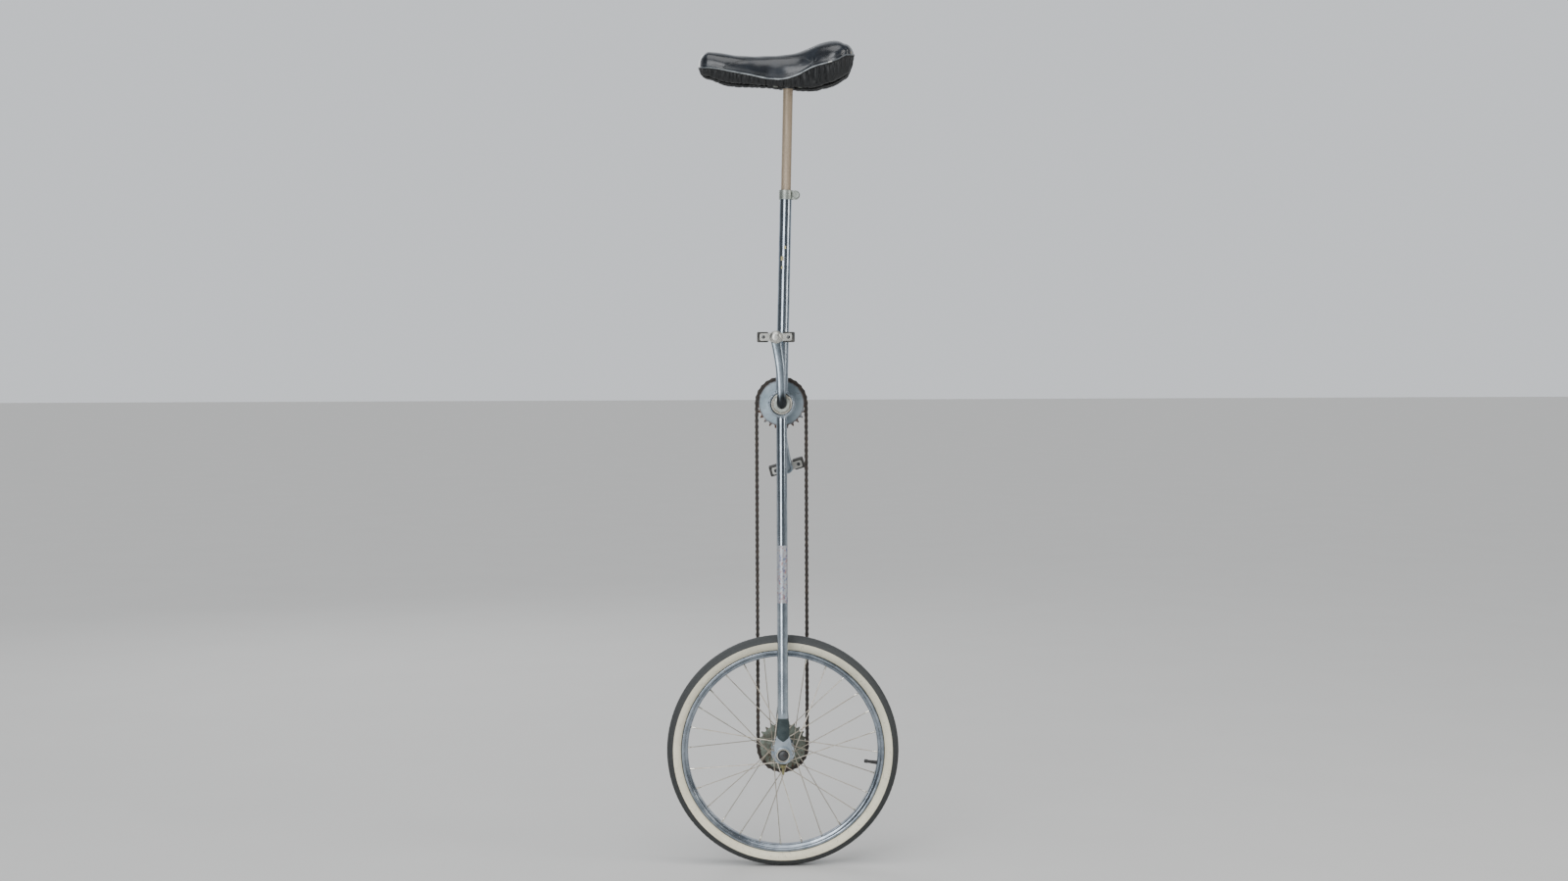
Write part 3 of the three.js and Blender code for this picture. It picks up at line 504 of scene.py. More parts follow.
class Build:
    """Vertices and faces gathered for one mesh."""

    def __init__(self):
        self.points = []
        self.faces = []
        self.kinds = []

    def add(self, points, faces, kind=0, place=None):
        start = len(self.points)
        self.points += [place @ Vector(p) for p in points] if place else [Vector(p) for p in points]
        self.faces += [tuple(start + i for i in face) for face in faces]
        self.kinds += [kind] * len(faces)
        return self

    def mesh(self, name):
        mesh = bpy.data.meshes.new(name)
        mesh.from_pydata(self.points, [], self.faces)
        mesh.polygons.foreach_set("material_index", self.kinds)
        mesh.update()
        return mesh


def grid_faces(rows, columns, wrap_rows=False, wrap_columns=True):
    faces = []
    for i in range(rows if wrap_rows else rows - 1):
        for j in range(columns if wrap_columns else columns - 1):
            a, b = i * columns + j, i * columns + (j + 1) % columns
            k = (i + 1) % rows
            faces.append((a, b, k * columns + (j + 1) % columns, k * columns + j))
    return faces


def turned(profile, sides=96):
    """Points and faces of a solid turned about Y from (radius, y) pairs, closed on itself or on
    the axis."""
    points, faces = [], []
    closed = profile[0][0] > 0
    for r, y in profile:
        points += [(r * math.sin(TAU * i / sides), y, r * math.cos(TAU * i / sides)) for i in range(sides)]
    faces = grid_faces(len(profile), sides, wrap_rows=closed)
    return points, faces


def rounded(profile, radius, steps=3):
    """A closed profile with each corner replaced by a short arc."""
    out = []
    for i, corner in enumerate(profile):
        here = Vector(corner)
        before = Vector(profile[i - 1]) - here
        after = Vector(profile[(i + 1) % len(profile)]) - here
        if here.x == 0 or before.length < 1e-6 or after.length < 1e-6:
            out.append(corner)
            continue
        reach = min(radius, before.length * 0.45, after.length * 0.45)
        start, end = here + before.normalized() * reach, here + after.normalized() * reach
        for k in range(steps + 1):
            t = k / steps
            spot = start.lerp(here, t).lerp(here.lerp(end, t), t)
            out.append((spot.x, spot.y))
    return out


def loft(sections, closed_ends=True):
    """Points and faces skinned over rings of equal length."""
    count = len(sections[0])
    points = [p for ring in sections for p in ring]
    faces = grid_faces(len(sections), count)
    if closed_ends:
        faces.append(tuple(range(count))[::-1])
        faces.append(tuple((len(sections) - 1) * count + j for j in range(count)))
    return points, faces


def frames_along(path):
    """A position and two side directions at each point of a path, without twist."""
    path = [Vector(p) for p in path]
    ahead = [(path[min(i + 1, len(path) - 1)] - path[max(i - 1, 0)]).normalized() for i in range(len(path))]
    side = ahead[0].orthogonal().normalized()
    frames = []
    for spot, way in zip(path, ahead):
        side = (side - way * side.dot(way)).normalized()
        frames.append((spot, side, way.cross(side)))
    return frames


def wire(path, radius, sides=10):
    """Points and faces of a round bar along a path; radius is a number or one for each point."""
    radii = radius if isinstance(radius, (list, tuple)) else [radius] * len(path)
    sections = []
    for (spot, u, v), r in zip(frames_along(path), radii):
        sections.append([spot + (u * math.cos(TAU * j / sides) + v * math.sin(TAU * j / sides)) * r
                         for j in range(sides)])
    return loft(sections)


def curve_mesh(name, outlines, depth, edge):
    """A flat plate in XZ, centred on y = 0, with rounded edges; later outlines are holes."""
    curve = bpy.data.curves.new(name, "CURVE")
    curve.dimensions = "2D"
    curve.fill_mode = "BOTH"
    curve.extrude = depth / 2 - edge
    curve.bevel_depth = edge
    curve.bevel_resolution = 1
    curve.offset = -edge
    for outline in outlines:
        spline = curve.splines.new("POLY")
        spline.points.add(len(outline) - 1)
        for spot, (x, z) in zip(spline.points, outline):
            spot.co = (x, z, 0, 1)
        spline.use_cyclic_u = True
    holder = bpy.data.objects.new(name, curve)
    bpy.context.scene.collection.objects.link(holder)
    bpy.context.view_layer.update()
    mesh = bpy.data.meshes.new_from_object(holder.evaluated_get(bpy.context.evaluated_depsgraph_get()))
    bpy.data.objects.remove(holder)
    bpy.data.curves.remove(curve)
    mesh.transform(Matrix.Rotation(math.pi / 2, 4, "X"))
    return mesh


def take(build, mesh, kind=0, place=None):
    """Adds a finished mesh to a build and frees it."""
    build.add([v.co.copy() for v in mesh.vertices], [tuple(p.vertices) for p in mesh.polygons], kind, place)
    bpy.data.meshes.remove(mesh)
    return build


def circle(radius, count=40, at=(0, 0)):
    return [(at[0] + radius * math.cos(TAU * i / count), at[1] + radius * math.sin(TAU * i / count))
            for i in range(count)]


def shift(x=0, y=0, z=0):
    return Matrix.Translation((x, y, z))


def about_y(angle):
    return Matrix.Rotation(angle, 4, "Y")


HALF_TURN_Z = Matrix.Rotation(math.pi, 4, "Z")
Y_TO_Z = Matrix.Rotation(math.pi / 2, 4, "X")


def facing(side):
    """Leaves a piece made for the right side alone, and turns it round for the left side."""
    return Matrix.Identity(4) if side > 0 else HALF_TURN_Z


# ------------------------------------------------------------------ wheel

WHEEL_AT = shift(z=AXLE_Z)
WHITEWALL_R = 232.4
RIM_FLANGE_R = 214.9
RIM_INNER_R = 201.2
SPOKES = 28
CROSSINGS = 3
FIRST_SPOKE = math.radians(-1.6)
SPOKE_HOLE_R = 21
SPOKE_R = 0.95
FLANGE_Y = 30
FLANGE_HALF = 1.2
VALVE_ANGLE = FIRST_SPOKE + 6.5 * TAU / SPOKES


def on_wheel(angle, radius, y):
    """A point on the wheel, at an angle from straight down towards +X."""
    return Vector((radius * math.sin(angle), y, AXLE_Z - radius * math.cos(angle)))


TREAD_SECTION = ((0.0, TYRE_R), (6.0, TYRE_R - 0.3), (12.0, TYRE_R - 2.2), (16.5, TYRE_R - 5.4),
                 (19.6, TYRE_R - 9.6), (21.0, 233.6))
WALL_SECTION = ((21.5, WHITEWALL_R), (21.9, 229.5), (21.4, 224.5), (19.6, 220.2), (16.6, 217.0),
                (14.2, 215.9), (12.5, 215.6), (12.5, 209.8))
INNER_SECTION = ((9.8, 209.8), (9.8, 216), (15.6, 223), (16.8, 231), (13.5, 237.5), (6, 241))


def spline_through(points, per_span):
    """Catmull-Rom points through a list of tuples."""
    pts = [Vector(p) for p in points]
    out = []
    for i in range(len(pts) - 1):
        a, b, c, d = pts[max(i - 1, 0)], pts[i], pts[i + 1], pts[min(i + 2, len(pts) - 1)]
        for k in range(per_span):
            t = k / per_span
            out.append(0.5 * ((2 * b) + (c - a) * t + (2 * a - 5 * b + 4 * c - d) * t * t
                              + (3 * b - a - 3 * c + d) * t ** 3))
    out.append(pts[-1])
    return out


TREAD_BLOCKS = 132


def tread_depth(angle, y):
    """How far a point of the tread lies below the crown: two ring grooves, and slanted cuts that
    leave small blocks on each side of a plain centre rib."""
    across = abs(y)
    if across < 3.2 or across > 18.6:
        return 0.0
    ring = max(0.0, 1 - abs(across - 4.2) / 1.0) + max(0.0, 1 - abs(across - 11.4) / 0.9)
    offset = 0.5 if across > 11.4 else 0.0
    slant = angle * TREAD_BLOCKS / TAU + across * 0.055 + (0.5 if y > 0 else 0.0) + offset
    cut = max(0.0, 1 - abs(slant % 1.0 - 0.5) / 0.17)
    return 0.9 * min(1.0, max(ring, cut))


def make_tyre():
    tread = [(p.x, p.y) for p in spline_through(TREAD_SECTION, 5)]
    wall = [(p.x, p.y) for p in spline_through(WALL_SECTION, 4)]
    half = tread + wall
    section = [(-y, r) for y, r in half[:0:-1]] + half
    inner = [(p.x, p.y) for p in spline_through(INNER_SECTION, 3)]
    section += inner + [(-y, r) for y, r in inner[::-1]]
    sides = TREAD_BLOCKS * 6
    tread_y = TREAD_SECTION[-1][0] + 0.1
    outer_count = 2 * len(half) - 1
    points = []
    for i, (y, r) in enumerate(section):
        is_tread = i < outer_count and abs(y) < tread_y and r > WHITEWALL_R
        for k in range(sides):
            angle = TAU * k / sides
            radius = r - (tread_depth(angle, y) if is_tread else 0.0)
            points.append((radius * math.sin(angle), y, -radius * math.cos(angle)))
    build = Build().add(points, grid_faces(len(section), sides, wrap_rows=True), 0, WHEEL_AT)
    for f in range(len(build.faces)):
        y, r = section[f // sides]
        after = section[(f // sides + 1) % len(section)]
        mid_r, mid_y = (r + after[1]) / 2, (abs(y) + abs(after[0])) / 2
        row = f // sides
        build.kinds[f] = 1 if row < outer_count and mid_r < WHITEWALL_R and mid_y > 13.2 else 0
    piece("tyre", build.mesh("tyre"), "wheel", ["tread", "whitewall"], "tyre")


def mirrored(half):
    return list(half) + [(r, -y) for r, y in half[::-1]]


def make_rim():
    outside = [(RIM_FLANGE_R - 0.5, 12.9), (RIM_FLANGE_R, 13.4), (RIM_FLANGE_R, 14.9),
               (RIM_FLANGE_R - 1.2, 15.9), (210.5, 15.9), (208.6, 14.9), (207.4, 12.6), (205.2, 11.2),
               (202.6, 10.2), (RIM_INNER_R, 8.0)]
    inside = [(209, -12.9), (206.2, -9.4), (203.2, -7.0)]
    profile = rounded(mirrored(outside) + mirrored(inside), 0.8, 2)
    build = Build().add(*turned(profile, 216), 0, WHEEL_AT)
    piece("rim", build.mesh("rim"), "wheel", "rim_chrome", "rim")


def make_rim_parts():
    strip = Build().add(*turned([(203.8, 5), (203.8, -5), (204.6, -5), (204.6, 5)], 144), 0, WHEEL_AT)
    piece("rim_strip", strip.mesh("rim_strip"), "wheel", "tape", "rim_strip")
    outside = [(206.2, 4.2), (215.6, 8.4), (221, 13.6), (229, 16.0), (236, 12.5), (240.0, 5.0)]
    tube = Build().add(*turned(rounded(mirrored(outside), 3, 3), 144), 0, WHEEL_AT)
    piece("inner_tube", tube.mesh("inner_tube"), "wheel", "rubber", "inner_tube")
    stem = [on_wheel(VALVE_ANGLE, r, 0)
            for r in (205, 200.8, 200.4, 190, 183, 182.6, 182.2, 176, 174.8, 174.4)]
    radii = [4, 4.4, 3.9, 3.6, 3.2, 3.0, 3.9, 3.9, 3.2, 2.2]
    valve = Build().add(*wire(stem, radii, 20))
    piece("valve_stem", valve.mesh("valve_stem"), "wheel", "rubber", "valve_stem")


def spoke_ends(index, side):
    """Hub end, rim end and whether the spoke leaves the flange on its outer face."""
    rim_angle = FIRST_SPOKE + (2 * index + (1 if side > 0 else 0)) * TAU / SPOKES
    sweep = CROSSINGS * TAU / (SPOKES / 2)
    outward = index % 2 == 0
    hub_angle = rim_angle + (-sweep if outward else sweep)
    return hub_angle, rim_angle, outward


def make_spokes(name, side):
    build = Build()
    for index in range(SPOKES // 2):
        hub_angle, rim_angle, outward = spoke_ends(index, side)
        face = FLANGE_Y + (1 if outward else -1) * (FLANGE_HALF + SPOKE_R + 0.1)
        back = FLANGE_Y - (1 if outward else -1) * (FLANGE_HALF + 0.9)
        bend = on_wheel(hub_angle, SPOKE_HOLE_R, side * face)
        tip = on_wheel(rim_angle, RIM_INNER_R + 0.4, side * 2.6)
        along = (tip - bend).normalized()
        through = Vector((0, side * (back - face), 0))
        path = [bend + through, bend + through * 0.3, bend + along * 0.5 + through * 0.06, bend + along * 1.6]
        path += [bend.lerp(tip, t) for t in (0.03, 0.2, 0.4, 0.6, 0.8, 0.95)]
        build.add(*wire(path, SPOKE_R, 8))
        head = [bend + through * t for t in (1.0, 1.16, 1.34, 1.44)]
        build.add(*wire(head, [1.9, 1.9, 1.5, 0.7], 12))
        nipple = [tip - along * d for d in (-0.6, 0.2, 0.6, 3.4, 3.7, 10.6, 11.2)]
        build.add(*wire(nipple, [2.6, 2.6, 2.05, 2.05, 1.75, 1.75, 1.3], 8), 1)
    mesh = build.mesh(name)
    piece(name, mesh, "wheel", ["spokes", "bright"], name)


SEAT_R = 17


def make_hub():
    half = [(6.5, 37), (12, 37), (12, 31.2), (24.3, 31.2), (24.6, 30.9), (24.6, 29.1), (24.3, 28.8),
            (16, 28.8), (13.4, 26.5), (12.4, 20), (12.4, 4), (13.4, 3.2), (13.4, 0.1)]
    right = [(6.5, 47), (SEAT_R, 47), (SEAT_R, 31.2)] + half[3:]
    profile = [(r, y) for r, y in right] + [(r, -y) for r, y in half[::-1]]
    shell = Build().add(*turned(rounded(profile, 0.6, 2), 96), 0, WHEEL_AT)
    piece("hub_shell", shell.mesh("hub_shell"), "wheel", "chrome", "hub_shell")
    axle_end = box_mm("axle")[1].y
    bar = turned(rounded([(0, -axle_end), (5.95, -axle_end), (5.95, axle_end), (0, axle_end)], 0.6, 2), 48)
    piece("axle", Build().add(*bar, 0, WHEEL_AT).mesh("axle"), "wheel", "dark", "axle")
    start = box_mm("right_axle_nut")[0].y
    dome = [(6.4, start), (11.3, start), (11.3, start + 3.2), (10.6, start + 5.0), (8.6, start + 6.7),
            (5.4, start + 7.8), (0, start + 8.2), (0, start + 6.0), (6.4, start + 6.0)]
    for name, side in SIDES:
        nut = Build().add(*turned(rounded(dome, 0.7, 2), 64), 0, WHEEL_AT @ facing(side))
        piece(f"{name}_axle_nut", nut.mesh("axle_nut"), "wheel", "dark", f"{name}_axle_nut")


TEETH = 26
PITCH = 12.7
PITCH_R = PITCH / (2 * math.sin(math.pi / TEETH))
ROLLER_R = 3.9
PLATE_HALF = 1.6


def tooth_outline():
    """Round seats for the rollers between teeth with slightly hollow flanks."""
    step = TAU / TEETH
    points = []
    for i in range(TEETH):
        seat = i * step
        cx, cz = PITCH_R * math.cos(seat), PITCH_R * math.sin(seat)
        for k in range(9):
            turn = seat + math.pi + math.radians(-62 + 124 * k / 8)
            points.append((cx + (ROLLER_R + 0.15) * math.cos(turn), cz + (ROLLER_R + 0.15) * math.sin(turn)))
        for part, radius in ((0.36, PITCH_R + 0.9), (0.44, PITCH_R + 2.7), (0.5, PITCH_R + 3.0),
                             (0.56, PITCH_R + 2.7),
                             (0.64, PITCH_R + 0.9)):
            turn = seat + part * step
            points.append((radius * math.cos(turn), radius * math.sin(turn)))
    return points


def sort_round(points):
    return sorted(points, key=lambda p: math.atan2(p[1], p[0]))


def make_sprocket(name, body, centre_z, bore, rings, material, pin=None):
    holes = [circle(bore, 64)]
    if pin:
        holes.append(circle(4.4, 24, pin))
    build = take(Build(), curve_mesh(name, [sort_round(tooth_outline())] + holes, 2 * PLATE_HALF, 0.35), 0,
                 shift(0, CHAIN_Y, centre_z))
    for inner, outer, proud in rings:
        for direction in (-1, 1):
            face = direction * (PLATE_HALF - 0.2)
            top = direction * (PLATE_HALF + proud)
            profile = rounded([(inner, face), (outer, face), (outer, top), (inner, top)], 0.35, 2)
            build.add(*turned(profile, 96), 0, shift(0, CHAIN_Y, centre_z))
    return piece(name, build.mesh(name), body, material, name)


def make_lower_drive():
    make_sprocket("lower_sprocket", "wheel", AXLE_Z, SEAT_R + 0.4, [(20, 29, 0.7)], "old_plate")
    y = CHAIN_Y + PLATE_HALF + 0.3
    notched = []
    for i in range(48):
        r = 23 if i % 8 else 20.8
        notched.append((r * math.cos(TAU * i / 48), r * math.sin(TAU * i / 48)))
    lock = take(Build(), curve_mesh("lock", [notched, circle(SEAT_R + 0.4, 64)], 2.6, 0.3), 0,
                shift(0, y + 1.4, AXLE_Z))
    piece("sprocket_lock_ring", lock.mesh("lock"), "wheel", "zinc", "sprocket_lock_ring")


# ------------------------------------------------------------------ chain

RUN_LINKS = 58
CHAIN_PLATE = 1.2


def chain_spots():
    """The centre of every roller, in order round the loop, as (x, z)."""
    spots = [(PITCH_R, AXLE_Z + i * PITCH) for i in range(RUN_LINKS)]
    for i in range(TEETH // 2):
        turn = i * TAU / TEETH
        spots.append((PITCH_R * math.cos(turn), BB_Z + PITCH_R * math.sin(turn)))
    spots += [(-PITCH_R, BB_Z - i * PITCH) for i in range(RUN_LINKS)]
    for i in range(TEETH // 2):
        turn = math.pi + i * TAU / TEETH
        spots.append((PITCH_R * math.cos(turn), AXLE_Z + PITCH_R * math.sin(turn)))
    return spots


def link_outline():
    """A side plate: two round ends joined by a narrower waist."""
    end, waist = 4.1, 2.9
    points = []
    for k in range(9):
        turn = math.radians(-110 + 220 * k / 8)
        points.append((PITCH / 2 + end * math.cos(turn), end * math.sin(turn)))
    points.append((0, waist))
    for k in range(9):
        turn = math.radians(70 + 220 * k / 8)
        points.append((-PITCH / 2 + end * math.cos(turn), end * math.sin(turn)))
    points.append((0, -waist))
    return points


def slab(outline, y0, y1, edge=0.25):
    """A thin plate in XZ with bevelled edges, built straight from its outline."""
    small = [(x * 0.96, z * 0.93) for x, z in outline]
    rings = [[(x, y0, z) for x, z in small], [(x, y0 + edge, z) for x, z in outline],
             [(x, y1 - edge, z) for x, z in outline], [(x, y1, z) for x, z in small]]
    return loft(rings)


def make_chain():
    build = Build()
    spots = chain_spots()
    outline = link_outline()
    for i, (x, z) in enumerate(spots):
        nx, nz = spots[(i + 1) % len(spots)]
        place = shift((x + nx) / 2, CHAIN_Y, (z + nz) / 2) @ about_y(-math.atan2(nz - z, nx - x))
        gap = 2.0 if i % 2 else 2.0 + CHAIN_PLATE + 0.1
        for direction in (-1, 1):
            y0, y1 = sorted((direction * gap, direction * (gap + CHAIN_PLATE)))
            build.add(*slab(outline, y0, y1), 0, place)
        here = shift(x, CHAIN_Y, z)
        build.add(*turned([(0, -2.0), (ROLLER_R, -1.9), (ROLLER_R, 1.9), (0, 2.0)], 16), 0, here)
        pin = [(0, -5.1), (1.3, -5.1), (1.7, -4.8), (1.7, 4.8), (1.3, 5.1), (0, 5.1)]
        build.add(*turned(pin, 12), 0, here)
    piece("chain", build.mesh("chain"), "frame", "chain", "chain")


# ------------------------------------------------------------------ screws and nuts


def threaded(radius, start, end, pitch=1.0):
    """Half profile of a thread between two heights."""
    count = int((end - start) / pitch)
    points = []
    for i in range(count):
        low = start + i * pitch
        points += [(radius, low), (radius - 0.32, low + pitch / 2)]
    return points + [(radius, start + count * pitch)]


def hex_body(across, y0, y1, bore=0.0, dish=0.0):
    """A hexagon with chamfered corners, bored or with a slightly hollow face."""
    count = 60
    corner = across / math.sqrt(3)
    levels = ((y0, across / 2), (y0 + 0.28 * (corner - across / 2) + 0.25, corner),
              (y1 - 0.28 * (corner - across / 2) - 0.25, corner), (y1, across / 2))
    rings = []
    for y, limit in levels:
        ring = []
        for k in range(count):
            turn = TAU * k / count
            flat = across / 2 / math.cos((turn % (TAU / 6)) - TAU / 12)
            radius = min(flat, limit)
            ring.append((radius * math.sin(turn), y, radius * math.cos(turn)))
        rings.append(ring)
    inner = bore if bore else across * 0.3

    def ring_at(radius, y):
        return [(radius * math.sin(TAU * k / count), y, radius * math.cos(TAU * k / count))
                for k in range(count)]

    rings = [ring_at(inner, y0 if bore else y0 + dish)] + rings + [ring_at(inner, y1 if bore else y1 - dish)]
    points = [p for ring in rings for p in ring]
    faces = grid_faces(len(rings), count, wrap_rows=bool(bore))
    if not bore:
        faces += [tuple(range(count))[::-1], tuple((len(rings) - 1) * count + k for k in range(count))]
    return points, faces


# ------------------------------------------------------------------ bearing holders

HOLDER_Y = 60
HOLDER_R = 18
BEARING_BORE = 14.4


def make_holders():
    width = HOLDER_R - 0.1
    turns = [math.radians(180 + 180 * k / 32) for k in range(33)]
    low = [(width * math.cos(t), width * math.sin(t)) for t in turns]
    tab = low + rounded([(width, 4), (width, 23), (12.6, 44), (-12.6, 44), (-width, 23), (-width, 4)], 5, 4)
    race = [(6.4, -4), (8.7, -4), (8.7, -3.2), (11.5, -3.2), (11.5, -4), (14, -4), (14, 4), (11.5, 4),
            (11.5, 3.2), (8.7, 3.2), (8.7, 4), (6.4, 4)]
    cup = [(BEARING_BORE, -7), (HOLDER_R, -7), (HOLDER_R, 5.6), (HOLDER_R - 1.2, 7), (BEARING_BORE, 7)]
    shank = [(0, -41), (2.0, -40.9), (2.6, -40.2)] + threaded(3.0, -39.8, -18.6) + [(0, -18.3)]
    for name, side in SIDES:
        place = WHEEL_AT @ facing(side) @ shift(y=HOLDER_Y)
        holder = take(Build(), curve_mesh("tab", [tab, circle(BEARING_BORE, 64)], 5, 0.8), 0, place)
        holder.add(*turned(rounded(cup, 0.9, 3), 96), 0, place)
        for x in (-6.5, 6.5):
            rivet = [(0, 2.4), (3.6, 2.4), (3.3, 3.4), (2.0, 4.3), (0, 4.5)]
            holder.add(*turned(rivet, 24), 0, place @ shift(x, -7.4, 33) @ Matrix.Rotation(math.pi, 4, "Z"))
        piece(f"{name}_bearing_holder", holder.mesh("holder"), "frame", "holder",
              f"{name}_bearing_holder")
        bearing = Build().add(*turned(rounded(race, 0.35, 2), 72), 0, place)
        piece(f"{name}_wheel_bearing", bearing.mesh("bearing"), "frame", "bright",
              f"{name}_wheel_bearing")
        bolt = Build().add(*turned(shank, 24), 0, place @ Y_TO_Z)
        bolt.add(*hex_body(11, -26, -21, 2.8), 0, place @ Y_TO_Z)
        washer = [(3.1, -20.9), (7.2, -20.9), (7.2, -19.7), (3.1, -19.7)]
        bolt.add(*turned(rounded(washer, 0.3, 2), 40), 0, place @ Y_TO_Z)
        piece(f"{name}_holder_bolt", bolt.mesh("holder_bolt"), "frame", "brass",
              f"{name}_holder_bolt")


# ------------------------------------------------------------------ frame tubes

LEG_R = 11.1
LEG_TOP_Y = 23
LEG_FOOT_Y = 66
FOOT_TOP = 84
FOOT_SECTIONS = ((30, 1.6, 1.9), (33, 6.0, 2.2), (37, 10.6, 2.4), (43, 13.0, 2.6), (52, 13.6, 2.8),
                 (60, 13.3, 3.6), (67, 12.8, 5.2), (74, 12.0, 7.8), (80, 11.4, 10.0),
                 (FOOT_TOP, LEG_R, LEG_R), (92, LEG_R, LEG_R))
SHELL_WELD_R = SHELL_R - 1.0


def leg_y(z):
    """How far a leg's middle stands from the middle plane at a height."""
    foot = AXLE_Z + FOOT_TOP
    share = max(0.0, (z - foot) / (BB_Z - SHELL_R - foot))
    return LEG_FOOT_Y + (LEG_TOP_Y - LEG_FOOT_Y) * share


def leg_ring(side, z, half_width, half_depth, count=48):
    return [Vector((half_width * math.cos(TAU * k / count),
                    side * (leg_y(z) + half_depth * math.sin(TAU * k / count)), z))
            for k in range(count)]


def make_legs():
    for name, side in SIDES:
        rings = []
        for up, w, d in FOOT_SECTIONS:
            rings.append(leg_ring(side, AXLE_Z + up, w, d))
        start, end = AXLE_Z + 110, BB_Z - SHELL_R - 4
        rings += [leg_ring(side, start + (end - start) * k / 12, LEG_R, LEG_R) for k in range(13)]
        top = leg_ring(side, BB_Z - SHELL_R, LEG_R, LEG_R)
        rings.append([Vector((p.x, p.y, BB_Z - math.sqrt(SHELL_WELD_R ** 2 - p.x ** 2))) for p in top])
        build = Build().add(*loft(rings))
        foot_rings = 8
        build.kinds[:foot_rings * 48] = [1] * (foot_rings * 48)
        bead = []
        for k in range(49):
            turn = TAU * k / 48
            x, y = (LEG_R + 0.5) * math.cos(turn), side * (LEG_TOP_Y + (LEG_R + 0.5) * math.sin(turn))
            bead.append(Vector((x, y, BB_Z - math.sqrt((SHELL_R + 0.2) ** 2 - x ** 2))))
        build.add(*wire(bead, [1.5 + 0.25 * math.sin(k * 2.4) for k in range(49)], 10))
        piece(f"{name}_leg", build.mesh("leg"), "frame", ["chrome", "foot"], f"{name}_leg")


MAST_AT = shift(z=BB_Z) @ about_y(MAST_TILT)
MAST_R = 12.7
MAST_BORE = 10.75
MAST_LENGTH = 447
SLOT_HALF = 1.3
SLOT_DEPTH = 40
COLLAR_BORE = MAST_R + 0.35
COLLAR_R = COLLAR_BORE + 1.3
COLLAR_HEIGHT = 19.5
COLLAR_BOLT_X = 20.2
COLLAR_MIDDLE = MAST_LENGTH - COLLAR_HEIGHT / 2 + 1
COLLAR_EAR_R = 9.5
POST_R = 10.3
POST_BOTTOM = MAST_LENGTH - 110


def open_ring(radius, z, half_gap, count):
    """Points round +Z at a height, from one edge of a gap at +X to the other."""
    edge = math.asin(half_gap / radius)
    return [(radius * math.cos(edge + (TAU - 2 * edge) * k / count),
             radius * math.sin(edge + (TAU - 2 * edge) * k / count), z)
            for k in range(count + 1)]


def make_mast():
    count = 72
    heights = [None, 30, 120, 220, 320, MAST_LENGTH - SLOT_DEPTH, MAST_LENGTH - 0.4, MAST_LENGTH]
    points, faces = [], []
    for shell, radius in enumerate((MAST_R, MAST_BORE)):
        for z in heights:
            trim = 0.35 if z == MAST_LENGTH else 0.0
            ring = open_ring(radius + (trim if shell else -trim), z or 0, SLOT_HALF, count)
            if z is None:
                ring = [(x, y, math.sqrt(SHELL_WELD_R ** 2 - x * x)) for x, y, _ in ring]
            points += ring
    columns, rows = count + 1, len(heights)
    slot_row = heights.index(MAST_LENGTH - SLOT_DEPTH)

    def at(shell, row, column):
        return (shell * rows + row) * columns + column

    for shell in (0, 1):
        for row in range(rows - 1):
            for column in range(count):
                quad = (at(shell, row, column), at(shell, row, column + 1), at(shell, row + 1, column + 1),
                        at(shell, row + 1, column))
                faces.append(quad)
            if row < slot_row:
                faces.append((at(shell, row, count), at(shell, row, 0), at(shell, row + 1, 0),
                              at(shell, row + 1, count)))
    for column in range(count):
        for row in (0, rows - 1):
            faces.append((at(0, row, column), at(0, row, column + 1), at(1, row, column + 1),
                          at(1, row, column)))
    faces.append((at(0, 0, count), at(0, 0, 0), at(1, 0, 0), at(1, 0, count)))
    faces.append((at(0, slot_row, count), at(0, slot_row, 0), at(1, slot_row, 0), at(1, slot_row, count)))
    for row in range(slot_row, rows - 1):
        for column in (0, count):
            faces.append((at(0, row, column), at(0, row + 1, column), at(1, row + 1, column),
                          at(1, row, column)))
    build = Build().add(points, faces, 0, MAST_AT)
    bead = []
    for k in range(49):
        turn = TAU * k / 48
        x, y = (MAST_R + 0.5) * math.cos(turn), (MAST_R + 0.5) * math.sin(turn)
        bead.append(MAST_AT @ Vector((x, y, math.sqrt((SHELL_R + 0.2) ** 2 - x * x))))
    build.add(*wire(bead, [1.6 + 0.25 * math.sin(k * 2.1) for k in range(49)], 10))
    piece("mast", build.mesh("mast"), "frame", "chrome", "mast")


